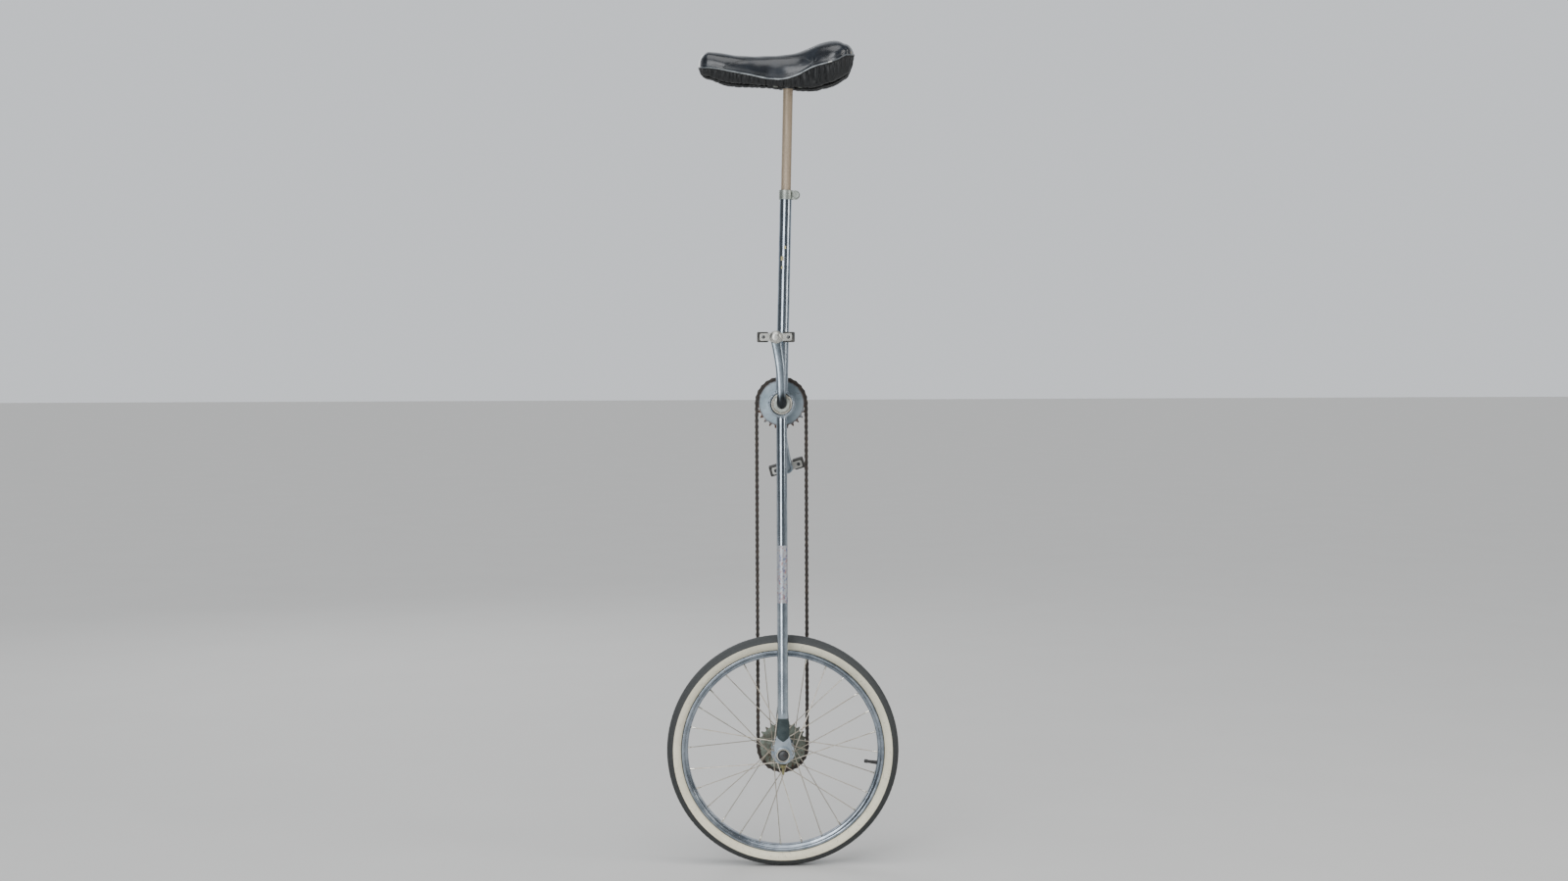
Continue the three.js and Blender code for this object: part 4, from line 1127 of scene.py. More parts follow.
def make_collar():
    place = MAST_AT @ shift(z=COLLAR_MIDDLE)
    half = COLLAR_HEIGHT / 2
    section = rounded([(COLLAR_BORE, -half), (COLLAR_R, -half), (COLLAR_R, half), (COLLAR_BORE, half)],
                      0.45, 2)
    count = 80
    rings = []
    for k in range(count + 1):
        turn = math.radians(7) + (TAU - math.radians(14)) * k / count
        rings.append([(r * math.cos(turn), r * math.sin(turn), z) for r, z in section])
    band = Build().add(*loft(rings), 0, place)
    ear = [(COLLAR_BORE + 0.4, -COLLAR_EAR_R)]
    ear += [(COLLAR_BOLT_X + COLLAR_EAR_R * math.cos(math.radians(t)),
             COLLAR_EAR_R * math.sin(math.radians(t)))
            for t in range(-90, 91, 6)]
    ear.append((COLLAR_BORE + 0.4, COLLAR_EAR_R))
    for y in (-3.3, 3.3):
        plate = curve_mesh("ear", [ear, circle(3.4, 32, (COLLAR_BOLT_X, 0))], 3.6, 0.5)
        take(band, plate, 0, place @ shift(y=y))
    piece("seat_collar", band.mesh("seat_collar"), "seat_clamp", "zinc", "seat_collar")
    at_bolt = place @ shift(COLLAR_BOLT_X)
    bolt = Build().add(*hex_body(13, -10.4, -5.6, 0, 0.35), 0, at_bolt @ about_y(math.radians(11)))
    shank = [(0, -6), (2.9, -6)] + threaded(2.95, -5.8, 11.4) + [(2.2, 12), (0, 12)]
    bolt.add(*turned(shank, 24), 0, at_bolt)
    piece("collar_bolt", bolt.mesh("collar_bolt"), "seat_clamp", "zinc", "collar_bolt")
    nut = Build().add(*hex_body(13, 5.5, 10.4, 3.1), 0, at_bolt @ about_y(math.radians(24)))
    piece("collar_nut", nut.mesh("collar_nut"), "seat_clamp", "zinc", "collar_nut")


POST_TOP = (box_mm("seat_post")[1].z - BB_Z - POST_R * math.sin(MAST_TILT)) / math.cos(MAST_TILT)


def upright(profile, sides=96):
    """Like turned, but about +Z: the second number of each pair is a height."""
    points, faces = turned(profile, sides)
    return [(x, z, y) for x, y, z in points], faces


def make_post():
    top = POST_TOP - 0.5
    wall = [(8.7, POST_BOTTOM), (POST_R, POST_BOTTOM), (POST_R, top), (8.7, top)]
    post = Build().add(*upright(rounded(wall, 0.4, 2)), 0, MAST_AT)
    piece("seat_post", post.mesh("seat_post"), "saddle", "post", "seat_post")


# ------------------------------------------------------------------ bottom bracket and crank

BRACKET_AT = shift(z=BB_Z)
CRANK_AT = BRACKET_AT @ about_y(-CRANK_TILT)
SPINDLE_R = 10
SHELL_HALF = 34
SHIELD_R = 21.8
ARM_Y = 56
EYE_R = 12.3
PIN_DROP = 24


def ball(radius, sides=20, rows=10):
    return turned([(radius * math.sin(math.pi * k / rows), -radius * math.cos(math.pi * k / rows))
                   for k in range(rows + 1)], sides)


def make_bracket():
    wall = rounded([(25.7, -SHELL_HALF), (SHELL_R, -SHELL_HALF), (SHELL_R, SHELL_HALF), (25.7, SHELL_HALF)],
                   0.5, 3)
    shell = Build().add(*turned(wall, 120), 0, BRACKET_AT)
    piece("bb_shell", shell.mesh("bb_shell"), "frame", "chrome", "bb_shell")
    face = SHELL_HALF + 0.3
    cup = [(25.3, 22), (25.3, face), (26.9, face), (26.9, 37.2), (26.2, 38), (23.8, 38), (22.8, 37.2),
           (22.8, 33), (21.5, 29), (19, 27), (19, 22)]
    for name, side in SIDES:
        place = BRACKET_AT @ facing(side)
        build = Build().add(*turned(rounded(cup, 0.4, 2), 120), 0, place)
        piece(f"bb_cup_{name}", build.mesh("cup"), "frame", "chrome", f"bb_cup_{name}")
        balls = Build()
        for k in range(11):
            turn = TAU * k / 11
            balls.add(*ball(2.9), 0, place @ shift(16.9 * math.cos(turn), 31.4, 16.9 * math.sin(turn)))
        piece(f"bb_balls_{name}", balls.mesh("balls"), "frame", "bright", f"bb_balls_{name}")


def make_cones():
    bore = SPINDLE_R + 0.4
    for name, side, end in (("fixed_cone", 1, CHAIN_Y - PLATE_HALF - 0.3), ("adjustable_cone", -1, 38.7)):
        profile = [(bore, 25), (13.3, 25), (13.3, 36.4), (SHIELD_R, 36.4), (SHIELD_R, 38.0),
                   (SHIELD_R - 0.8, 38.6), (18.4, 38.6), (18.0, 38.2), (16.4, 38.2), (16.0, 38.6),
                   (15, 38.65), (15, end), (bore, end)]
        cone = Build().add(*turned(rounded(profile, 0.2, 2), 120), 0, CRANK_AT @ facing(side))
        piece(name, cone.mesh(name), "crank", "bright", name)
    washer = rounded([(bore, 39), (15, 39), (15, 40.2), (bore, 40.2)], 0.3, 2)
    build = Build().add(*turned(washer, 72), 0, CRANK_AT @ facing(-1))
    piece("keyed_washer", build.mesh("washer"), "crank", "dark", "keyed_washer")
    nut = Build().add(*hex_body(32, -46.4, -40.5, bore), 0, CRANK_AT @ about_y(math.radians(13)))
    piece("lock_nut", nut.mesh("lock_nut"), "crank", "zinc", "lock_nut")


ARM_BOW = 3.6
# Sections of one crank arm from the spindle out: y and reach of its middle, the turn of the bar
# in degrees, half its width, half its thickness and how square it is.
ARM_SECTIONS = (
    (0, 0, 0, 10.0, 10.0, 2.0), (38, 0, 0, 10.0, 10.0, 2.0), (43, 0.1, 4, 10.0, 10.0, 2.0),
    (47.2, 0.9, 18, 10.3, 9.9, 2.05), (50.6, 2.9, 36, 10.6, 9.4, 2.1), (53.2, 6.0, 56, 10.5, 8.6, 2.2),
    (54.9, 10.4, 74, 9.9, 7.4, 2.3), (55.8, 16.4, 86, 9.2, 6.4, 2.5), (ARM_Y, 24, 90, 8.8, 6.0, 2.7),
    (ARM_Y, 45, 90, 8.9, 5.9, 2.8), (ARM_Y, 75, 90, 9.3, 5.9, 2.8), (ARM_Y, 105, 90, 9.9, 5.9, 2.8),
    (ARM_Y, 120, 90, 10.3, 5.9, 2.8), (ARM_Y, 127, 90, 10.7, 5.95, 2.8), (ARM_Y, 130.5, 90, 10.6, 5.95, 2.8),
    (ARM_Y, 133, 90, 9.6, 5.9, 2.8),
)


def squarish(turn, half_width, half_height, power):
    c, s = math.cos(turn), math.sin(turn)
    return (half_width * math.copysign(abs(c) ** (2 / power), c),
            half_height * math.copysign(abs(s) ** (2 / power), s))


def make_crank():
    build = Build()
    sections = spline_through(ARM_SECTIONS, 3)
    eye = [(6.9, -5.95), (EYE_R, -5.95), (EYE_R, 5.95), (6.9, 5.95)]
    for side, down in ((-1, -1), (1, 1)):
        rings = []
        for y, reach, bend, w, t, power in sections:
            turn = math.radians(bend)
            bow = ARM_BOW * math.sin(math.pi * min(max(reach / CRANK_LENGTH, 0.0), 1.0)) ** 1.5
            ring = []
            for k in range(48):
                across, thick = squarish(TAU * k / 48, w, t, power)
                spot = (across - down * bow, side * (y + thick * math.sin(turn)),
                        -down * (reach - thick * math.cos(turn)))
                ring.append(spot)
            rings.append(ring)
        build.add(*loft(rings), 0, CRANK_AT)
        build.add(*turned(rounded(eye, 0.9, 3), 72), 0,
                  CRANK_AT @ shift(0, side * ARM_Y, -down * CRANK_LENGTH))
    pin = rounded([(0, CHAIN_Y - 1.6), (4, CHAIN_Y - 1.6), (4, 52), (0, 52)], 0.5, 2)
    build.add(*turned(pin, 32), 0, CRANK_AT @ shift(0, 0, -PIN_DROP))
    piece("crank", build.mesh("crank"), "crank", "crank", "crank")
    turn = CRANK_TILT
    make_sprocket("upper_sprocket", "crank", BB_Z, SPINDLE_R + 0.4, [(27.4, 31.6, 0.9), (11.2, 18.5, 0.8)],
                  "plate", (PIN_DROP * math.sin(turn), -PIN_DROP * math.cos(turn)))


# ------------------------------------------------------------------ pedals

PEDAL_INNER = 70
PEDAL_OUTER = 140
PEDAL_PLATE = 2.2
EAR_HALF = (33.0, 7.6)
BOSS_R = 12.4
TIE_X = 25.5
BLOCK_X = (15.5, 38.5)
BLOCK_HALF = 10.5
PEDAL_PITCH = {"left": 0.0, "right": math.radians(-16)}


def pedal_plate_outline():
    """Rounded ears on both sides of a round middle, with soft corners where they meet."""
    w, h = EAR_HALF
    over = [(BOSS_R * math.cos(math.radians(t)), BOSS_R * math.sin(math.radians(t)))
            for t in range(54, 127, 8)]
    top = [(w, h), (15.5, h)] + over + [(-15.5, h), (-w, h)]
    return rounded(top + [(-x, -z) for x, z in top], 4.0, 5)


def block_rings():
    """Sections of a rubber block along the pedal: a rounded bar with shallow cross grooves."""
    start, end = PEDAL_INNER + PEDAL_PLATE + 0.3, PEDAL_OUTER - 0.3
    stops = [(start, 0.8), (start + 0.8, 0.0)]
    grooves = 7
    for k in range(1, grooves):
        y = start + (end - start) * k / grooves
        stops += [(y - 1.6, 0.0), (y - 1.0, 0.9), (y + 1.0, 0.9), (y + 1.6, 0.0)]
    stops += [(end - 0.8, 0.0), (end, 0.8)]
    rings = []
    for y, sink in stops:
        low, high, tall = BLOCK_X[0] + sink * 0.5, BLOCK_X[1] - sink * 0.5, BLOCK_HALF - sink
        outline = rounded([(low, -tall), (high, -tall), (high, tall), (low, tall)], 2.6, 4)
        rings.append([(x, y, z) for x, z in outline])
    return rings


def make_pedal(name, side):
    at = PEDAL_AT[name]
    place = shift(at.x, 0, at.z) @ about_y(PEDAL_PITCH[name]) @ facing(side)
    body = f"{name}_pedal"
    holes = [circle(2.7, 28, (TIE_X, 0)), circle(2.7, 28, (-TIE_X, 0))]
    for part, y, bore in (("inner", PEDAL_INNER, 9), ("outer", PEDAL_OUTER, 5)):
        mesh = curve_mesh(part, [pedal_plate_outline(), circle(bore, 40)] + holes, PEDAL_PLATE, 0.4)
        build = take(Build(), mesh, 0, place @ shift(y=y + PEDAL_PLATE / 2))
        if part == "outer":
            for x in (-TIE_X, TIE_X):
                face = PEDAL_OUTER + PEDAL_PLATE
                rod = [(0, 68), (2.3, 68), (2.3, face), (3.6, face), (3.3, face + 1.1), (1.8, face + 1.7),
                       (0, face + 1.8)]
                build.add(*turned(rod, 28), 1, place @ shift(x=x))
                build.add(*hex_body(7, PEDAL_INNER - 2.7, PEDAL_INNER - 0.3, 2.2), 1, place @ shift(x=x))
        node = f"{name}_pedal_{part}_plate"
        piece(node, build.mesh(node), body, ["pedal", "dark"], node)
    for part, end in (("front", -side), ("rear", side)):
        turn = Matrix.Identity(4) if end > 0 else Matrix.Scale(-1, 4, (1, 0, 0))
        build = Build().add(*loft(block_rings()), 0, place @ turn)
        node = f"{name}_pedal_{part}_block"
        piece(node, build.mesh(node), body, "block", node)
    barrel = [(6.6, 69.4), (8, 69.4), (8, 74), (7.4, 78), (7.4, 132), (8, 136), (8, 139.6), (6.6, 139.6)]
    build = Build().add(*turned(rounded(barrel, 0.6, 2), 48), 0, place)
    piece(f"{name}_pedal_barrel", build.mesh("barrel"), body, "pedal", f"{name}_pedal_barrel")
    spindle = [(0, 50.2), (5.6, 50.2)] + threaded(6.3, 50.8, 61.4)
    spindle += [(6.3, 62.3), (9.5, 62.3), (9.5, 66.5), (6.2, 66.5), (6.2, 74), (4.6, 138), (0, 138)]
    build = Build().add(*turned(spindle, 48), 0, place)
    build.add(*hex_body(15, 62.5, 66.3, 6), 0, place)
    piece(f"{name}_pedal_spindle", build.mesh("spindle"), "crank", "forged",
          f"{name}_pedal_spindle")
    make_dust_cap(name, place, body)


def make_dust_cap(name, place, body):
    """A domed cap with a knurled rim."""
    start = PEDAL_OUTER + PEDAL_PLATE + 0.3
    rows = ((12.2, 0.0, 0), (13.0, 0.4, 1), (13.2, 1.0, 1), (13.2, 2.8, 1), (12.6, 3.4, 1), (11.4, 4.0, 0),
            (10.6, 5.2, 0), (9.0, 6.7, 0), (6.4, 7.8, 0), (3.2, 8.3, 0))
    count = 144
    rings = []
    for radius, up, knurled in rows:
        ring = []
        for k in range(count):
            turn = TAU * k / count
            r = radius - (0.45 if knurled and k % 4 < 2 else 0.0)
            ring.append((r * math.sin(turn), start + up, r * math.cos(turn)))
        rings.append(ring)
    build = Build().add(*loft(rings), 0, place)
    piece(f"{name}_pedal_dust_cap", build.mesh("cap"), body, "pedal", f"{name}_pedal_dust_cap")


# ------------------------------------------------------------------ saddle

SADDLE_BASE = 1645
SADDLE_AT = shift((SADDLE_BASE - BB_Z) * math.tan(MAST_TILT), 0, SADDLE_BASE)
# Stations along the saddle: x from the post, then heights of the underside, the welt and the
# crown, and half the width.
STATIONS = (
    (-164, 23, 36, 73, 43), (-147, 16.5, 33.5, 71.4, 46.3), (-130, 11, 30, 69, 48),
    (-108, 8.6, 26, 66.4, 47.4), (-85, 7, 22, 64.5, 46), (-65, 5.6, 18, 63.8, 43.8), (-45, 4, 14, 64, 42),
    (-28, 2.4, 12.6, 65.2, 41.2), (-10, 1, 13, 67, 41), (6, 0.4, 16.5, 69, 42.8), (22, 0, 22, 72.5, 46),
    (36, 0, 28.8, 77.2, 51), (50, 0, 35, 83, 58), (63, 2.4, 38.4, 88.2, 64.6), (76, 7, 41, 92, 70),
    (87, 10.2, 43.8, 94, 74), (98, 14, 47, 94.5, 76), (108, 19.4, 52, 92.8, 74.6), (118, 26, 58, 88, 70),
)
NOSE = (-187.0, 44.0, 42.0)
TAIL = (138.5, 66.0, 66.5)
COVER_THICK = 2.2


def station(x):
    """Underside, welt, crown and half width at any x, with both ends rounded off."""
    first, last = STATIONS[0], STATIONS[-1]
    if x <= first[0]:
        share = max(0.0, 1 - ((first[0] - x) / (first[0] - NOSE[0])) ** 2)
        across = math.sqrt(share)
        low, crown = (NOSE[1] + (v - NOSE[1]) * across ** 0.94 for v in (first[1], first[3]))
        return low, NOSE[2] + (first[2] - NOSE[2]) * across, crown, first[4] * across
    if x >= last[0]:
        share = max(0.0, 1 - ((x - last[0]) / (TAIL[0] - last[0])) ** 2)
        across = math.sqrt(share)
        low, crown = (TAIL[1] + (v - TAIL[1]) * share ** 0.9 for v in (last[1], last[3]))
        return low, TAIL[2] + (last[2] - TAIL[2]) * share ** 0.6, crown, last[4] * across
    i = next(k for k in range(len(STATIONS) - 1) if STATIONS[k][0] <= x <= STATIONS[k + 1][0])
    a, b, c, d = (STATIONS[min(max(k, 0), len(STATIONS) - 1)] for k in (i - 1, i, i + 1, i + 2))
    t = (x - b[0]) / (c[0] - b[0])
    out = []
    for n in range(1, 5):
        into = (c[n] - a[n]) / (c[0] - a[0]) * (c[0] - b[0])
        away = (d[n] - b[n]) / (d[0] - b[0]) * (c[0] - b[0])
        out.append((2 * t ** 3 - 3 * t ** 2 + 1) * b[n] + (t ** 3 - 2 * t ** 2 + t) * into
                   + (3 * t ** 2 - 2 * t ** 3) * c[n] + (t ** 3 - t ** 2) * away)
    return tuple(out)


# Rows round half a section: share of the half width, then height as a share of welt to crown
# (first list) or of welt to underside (second list).
OVER = ((0.0, 1.0), (0.16, 0.995), (0.34, 0.975), (0.52, 0.93), (0.68, 0.865), (0.82, 0.765),
        (0.92, 0.63), (0.98, 0.46), (1.0, 0.28), (0.995, 0.12), (0.985, 0.0))
UNDER = ((0.985, 0.0), (0.972, 0.14), (0.945, 0.36), (0.90, 0.60), (0.82, 0.80), (0.72, 0.93),
         (0.61, 1.0), (0.49, 1.05), (0.37, 1.06))


def half_section(x, inset=0.0, per_span=4):
    low, welt, crown, half = station(x)
    half = max(half - inset, 0.01)
    top, bottom = crown - inset, low + inset
    if top < bottom:
        top = bottom = (top + bottom) / 2
    welt = min(max(welt, bottom), top)
    over = [(y * half, welt + (top - welt) * s) for y, s in OVER]
    under = [(y * half, welt + (bottom - welt) * s) for y, s in UNDER]
    upper = [(p.x, p.y) for p in spline_through(over, per_span)]
    lower = [(p.x, p.y) for p in spline_through(under, per_span)]
    return upper, lower[1:]


def saddle_rows(count):
    """x of each section: evenly spaced, closing up towards the rounded ends."""
    middle, reach = (NOSE[0] + TAIL[0]) / 2, (TAIL[0] - NOSE[0]) / 2
    rows = []
    for k in range(count):
        t = -1 + 2 * k / (count - 1)
        rows.append(middle + reach * math.copysign(1 - (1 - abs(t)) ** 1.35, t) * 0.9998)
    return rows


def cover_detail(x, y, z, welt):
    """How far the vinyl stands off its smooth shape at a point of the left or right side: folds
    that run out from the rear corner of the side panel, and soft dimples over old foam."""
    off = 0.55 * math.sin(x / 17.0 + 1.3) * math.sin(z / 13.0 + y / 31.0)
    off += 0.35 * math.sin(x / 7.3 + y / 9.0) * math.sin(z / 6.1 + 0.7)
    away = math.hypot(x - 53, z - 43)
    around = math.atan2(z - 43, x - 53)
    if abs(y) > 30:
        off -= 1.5 * math.exp(-(away / 10.5) ** 2) * (0.5 + 0.5 * math.cos(7 * around + 0.6))
        off -= 0.9 * math.exp(-((z - welt - 5.0) / 2.4) ** 2)
    return off


def make_cover_mesh():
    rows = saddle_rows(190)
    sections = []
    for x in rows:
        upper, lower = half_section(x)
        welt = station(x)[1]
        half = [(y, z) for y, z in upper + lower]
        ring = [(x, -y, z) for y, z in half[::-1]] + [(x, y, z) for y, z in half[1:]]
        sections.append((ring, welt, len(upper), len(lower)))
    columns = len(sections[0][0])
    mid_z = 40.0
    points = []
    for ring, welt, _, _ in sections:
        for x, y, z in ring:
            normal = Vector((0, y, (z - mid_z) * 1.2))
            normal = normal.normalized() if normal.length > 1e-6 else Vector((0, 0, 1))
            fade = min(1.0, (x - NOSE[0]) / 12, (TAIL[0] - x) / 12)
            points.append(Vector((x, y, z)) + normal * cover_detail(x, y, z, welt) * max(0.0, fade))
    faces = grid_faces(len(rows), columns, wrap_columns=False)
    faces += [tuple(range(columns))[::-1], tuple((len(rows) - 1) * columns + k for k in range(columns))]
    return points, faces, rows, columns, sections[0][3]


SKIRT_FRAMES = 36


def gather_skirt(obj, columns, below):
    """Lets the cover below the welt buckle into gathers, as cloth that is a little too wide for
    the gap between the welt and the pan it is pinned to."""
    mesh = obj.data
    rows = (len(mesh.vertices)) // columns
    pins = obj.vertex_groups.new(name="pins")
    for i in range(rows):
        for j in range(columns):
            depth = max(below - j, j - (columns - 1 - below), 0)
            share = depth / below
            weight = 1.0
            if 0 < share < 1:
                weight = 0.0 if 0.06 < share < 0.85 else 0.4
            if i < 4 or i > rows - 5:
                weight = 1.0
            pins.add([i * columns + j], weight, "REPLACE")
    cloth = obj.modifiers.new("gathers", "CLOTH")
    settings = cloth.settings
    settings.quality = 6
    settings.mass = 0.35
    settings.air_damping = 4
    settings.tension_stiffness = 12
    settings.compression_stiffness = 12
    settings.shear_stiffness = 3
    settings.bending_stiffness = 0.35
    settings.shrink_min = -0.09
    settings.vertex_group_mass = "pins"
    settings.pin_stiffness = 6
    cloth.collision_settings.use_collision = False
    cloth.point_cache.frame_start = 1
    cloth.point_cache.frame_end = SKIRT_FRAMES
    scene = bpy.context.scene
    for tick in range(1, SKIRT_FRAMES + 1):
        scene.frame_set(tick)
    settled = bpy.data.meshes.new_from_object(obj.evaluated_get(bpy.context.evaluated_depsgraph_get()))
    places = np.empty(len(settled.vertices) * 3, dtype=np.float64)
    settled.vertices.foreach_get("co", places)
    obj.modifiers.remove(cloth)
    mesh.vertices.foreach_set("co", places)
    mesh.update()
    bpy.data.meshes.remove(settled)
    scene.frame_set(1)


def make_cover():
    points, faces, rows, columns, below = make_cover_mesh()
    mesh = Build().add(points, faces, 0, SADDLE_AT).mesh("saddle_cover")
    noise = random.Random(7)
    for i, vertex in enumerate(mesh.vertices):
        j = i % columns
        depth = max(below - j, j - (columns - 1 - below), 0) / below
        if 0.05 < depth < 0.95:
            swell = math.sin(math.pi * depth)
            ripple = math.sin(rows[i // columns] * 0.62 + 2.0 * math.sin(rows[i // columns] * 0.11))
            side = 1 if vertex.co.y > 0 else -1
            vertex.co.y += side * swell * (0.9 * ripple + noise.uniform(-0.2, 0.2))
    mesh.transform(Matrix.Scale(MM, 4))
    obj = bpy.data.objects.new("saddle_cover_visual", mesh)
    bpy.context.scene.collection.objects.link(obj)
    gather_skirt(obj, columns, below)
    shell = bpy.data.meshes.new_from_object(obj)
    bpy.data.objects.remove(obj)
    shell.transform(Matrix.Scale(1 / MM, 4))
    for index in range((len(rows) - 1) * (columns - 1)):
        column = index % (columns - 1)
        if column < below or column >= columns - 1 - below:
            shell.polygons[index].material_index = 1
    surface = BVHTree.FromPolygons([v.co.copy() for v in shell.vertices],
                                   [tuple(p.vertices) for p in shell.polygons])
    cover = piece("saddle_cover", shell, "saddle", ["vinyl", "skirt", "lining"], "saddle_cover")
    thick = cover.modifiers.new("thickness", "SOLIDIFY")
    thick.thickness = COVER_THICK * MM
    thick.offset = -1
    thick.material_offset = 1
    return surface


def welt_path(lift, drop=0.0):
    """The closed line of the welt, nose to tail on the left and back on the right."""
    xs = [x for x in saddle_rows(150)]
    left, right = [], []
    for x in xs:
        _, welt, _, half = station(x)
        left.append(Vector((x, -(half * 0.985 + lift), welt - drop)))
        right.append(Vector((x, half * 0.985 + lift, welt - drop)))
    return left + right[::-1]


def closed_wire(path, radius, sides=12):
    """Points and faces of a round cord along a closed path; radius may be one for each point."""
    count = len(path)
    radii = radius if isinstance(radius, list) else [radius] * count
    rings = []
    for i, spot in enumerate(path):
        way = (path[(i + 1) % count] - path[i - 1]).normalized()
        u = way.cross(Vector((0, 0, 1)))
        u = u.normalized() if u.length > 1e-6 else Vector((0, 1, 0))
        v = way.cross(u).normalized()
        rings.append([spot + (u * math.cos(TAU * j / sides) + v * math.sin(TAU * j / sides)) * radii[i]
                      for j in range(sides)])
    return [p for ring in rings for p in ring], grid_faces(count, sides, wrap_rows=True)


# The side panel's upper seam: x from the post and height.
PANEL_SEAM = ((-136, 35.5), (-128, 39.5), (-115, 45), (-100, 50), (-75, 53.5), (-41, 55.5), (-10, 57),
              (21, 57), (38, 52.5), (50, 44.5), (57, 39))


def seam_on(surface, path, side, proud):
    """Points of a line drawn on one side of the cover."""
    out = []
    for x, z in path:
        start = SADDLE_AT @ Vector((x, side * 120, z))
        hit, normal, _, _ = surface.ray_cast(start, Vector((0, -side, 0)))
        if hit:
            normal = normal if normal.y * side > 0 else -normal
            out.append(hit + normal * proud)
    return out


def make_trim(surface):
    path = [SADDLE_AT @ p for p in welt_path(0.5)]
    radii = [1.4 + 0.16 * math.sin(i * 0.9) * math.sin(i * 0.23) for i in range(len(path))]
    build = Build().add(*closed_wire(path, radii))
    lower = [SADDLE_AT @ p for p in welt_path(0.1, 2.5)]
    build.add(*closed_wire(lower, 0.7, 8), 1)
    piece("saddle_piping", build.mesh("piping"), "saddle", ["piping", "lining"])
    panel = Build()
    for side in (-1, 1):
        line = [(p.x, p.y) for p in spline_through(PANEL_SEAM, 8)]
        for drop, radius in ((0.0, 0.75), (2.2, 0.45)):
            panel.add(*wire(seam_on(surface, [(x, z - drop) for x, z in line], side, -0.1), radius, 8))
        hem = [(x, station(x)[1] + 4.6) for x in (-134 + 3 * k for k in range(63))]
        panel.add(*wire(seam_on(surface, hem, side, -0.1), 0.55, 8), 0)
    piece("saddle_seams", panel.mesh("seams"), "saddle", "vinyl")


PAN_LIFT = 10.6


def pan_ring(x, lift, thick, share):
    low, welt, _, half = station(x)
    w = half * share
    ring = []
    for k in range(40):
        turn = TAU * k / 40
        y, z = squarish(turn, w, thick / 2, 3.5)
        ring.append((x, y, low + lift + thick / 2 + z + 0.16 * (abs(y) / max(half, 1)) ** 2 * (welt - low)))
    return ring


def make_pan_and_foam():
    xs = [NOSE[0] + 10 + (TAIL[0] - NOSE[0] - 18) * k / 60 for k in range(61)]
    pan = Build().add(*loft([pan_ring(x, PAN_LIFT, 4.3, 0.70) for x in xs]), 0, SADDLE_AT)
    piece("saddle_pan", pan.mesh("pan"), "saddle", "pan", "saddle_pan")
    rings = []
    for x in xs:
        upper, lower = half_section(x * 0.985, 4.0, 2)
        low = station(x)[0]
        half = [(y, max(z, low + PAN_LIFT + 4.8)) for y, z in upper + lower]
        rings.append([(x, -y, z) for y, z in half[::-1]] + [(x, y, z) for y, z in half[1:]])
    foam = Build().add(*loft(rings), 0, SADDLE_AT)
    obj = piece("saddle_foam", foam.mesh("foam"), "saddle", "foam", "saddle_foam")


BRACKET_HALF = (34.0, 21.0)
BRACKET_BOLT_X = 26


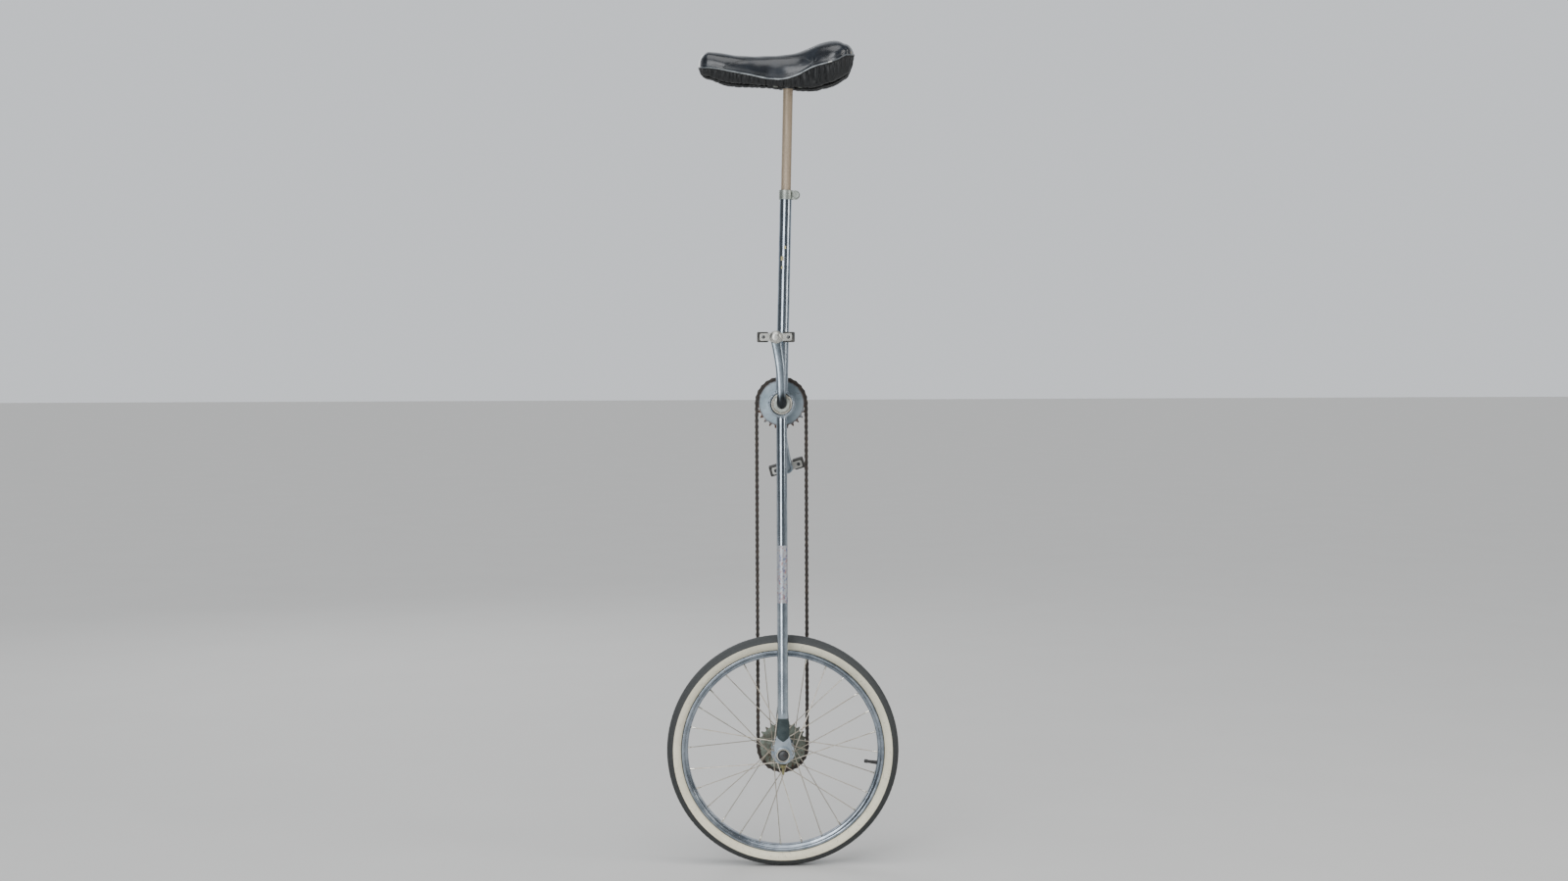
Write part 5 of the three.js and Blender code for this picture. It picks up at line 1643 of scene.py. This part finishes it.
def make_saddle_bracket():
    base = POST_TOP + 0.3
    corners = [(-BRACKET_HALF[0], -BRACKET_HALF[1]), (BRACKET_HALF[0], -BRACKET_HALF[1]), BRACKET_HALF,
               (-BRACKET_HALF[0], BRACKET_HALF[1])]
    holes = [circle(3.4, 32, (-BRACKET_BOLT_X, 0)), circle(3.4, 32, (BRACKET_BOLT_X, 0))]
    plate = curve_mesh("bracket", [rounded(corners, 7, 5)] + holes, 3, 0.5)
    lay = Matrix.Rotation(-math.pi / 2, 4, "X")
    build = take(Build(), plate, 0, MAST_AT @ shift(z=base + 1.5) @ lay)
    wall = rounded([(POST_R + 0.5, base - 9), (13.4, base - 9), (13.4, base), (POST_R + 0.5, base)], 0.6, 2)
    build.add(*upright(wall), 0, MAST_AT)
    weld = [MAST_AT @ Vector((13.7 * math.cos(TAU * k / 48), 13.7 * math.sin(TAU * k / 48), base - 0.4))
            for k in range(49)]
    build.add(*wire(weld, [1.4 + 0.2 * math.sin(k * 2.3) for k in range(49)], 8))
    piece("saddle_bracket", build.mesh("bracket"), "saddle", "dark", "saddle_bracket")
    for name, x in (("front", -BRACKET_BOLT_X), ("rear", BRACKET_BOLT_X)):
        place = MAST_AT @ shift(x, 0, 0) @ Y_TO_Z
        bolt = Build().add(*hex_body(11, base - 4.8, base - 0.3, 0, 0.3), 0, place)
        bolt.add(*turned([(0, base - 2), (3, base - 2), (3, base + 3), (0, base + 3)], 24), 0, place)
        piece(f"{name}_bracket_bolt", bolt.mesh("bolt"), "saddle", "old_plate",
              f"{name}_bracket_bolt")


# ------------------------------------------------------------------ worn stickers

def wrapped(place, radius, turn0, turn1, z0, z1, columns=24, rows=40):
    """Points and faces of a thin patch round an upright tube; angles in degrees from +X."""
    points = []
    for row in range(rows + 1):
        for column in range(columns + 1):
            turn = math.radians(turn0 + (turn1 - turn0) * column / columns)
            points.append(place @ Vector((radius * math.cos(turn), radius * math.sin(turn),
                                          z0 + (z1 - z0) * row / rows)))
    return points, grid_faces(rows + 1, columns + 1, wrap_columns=False)


def make_stickers():
    z0, z1 = 566, 686
    lean = math.atan2(leg_y(z0) - leg_y(z1), z1 - z0)
    at = shift(0, -leg_y((z0 + z1) / 2), (z0 + z1) / 2) @ Matrix.Rotation(-lean, 4, "X")
    patch = Build().add(*wrapped(at, LEG_R + 0.14, 185, 355, -60, 60))
    piece("leg_sticker", patch.mesh("leg_sticker"), "frame", "sticker")
    scraps = Build()
    for z, low, high, height in ((300, 232, 262, 9), (283, 238, 256, 5), (325, 262, 282, 6)):
        scraps.add(*wrapped(MAST_AT, MAST_R + 0.1, low, high, z, z + height, 10, 6))
    piece("mast_sticker_scraps", scraps.mesh("scraps"), "frame", "scrap")


# ------------------------------------------------------------------ everything together

make_materials()
make_tyre()
make_rim()
make_rim_parts()
make_spokes("spokes_left", -1)
make_spokes("spokes_right", 1)
make_hub()
make_lower_drive()
make_chain()
make_holders()
make_legs()
make_mast()
make_collar()
make_post()
make_bracket()
make_cones()
make_crank()
for pedal_name, pedal_side in SIDES:
    make_pedal(pedal_name, pedal_side)
make_trim(make_cover())
make_pan_and_foam()
make_saddle_bracket()
make_stickers()
make_camera()
make_studio()
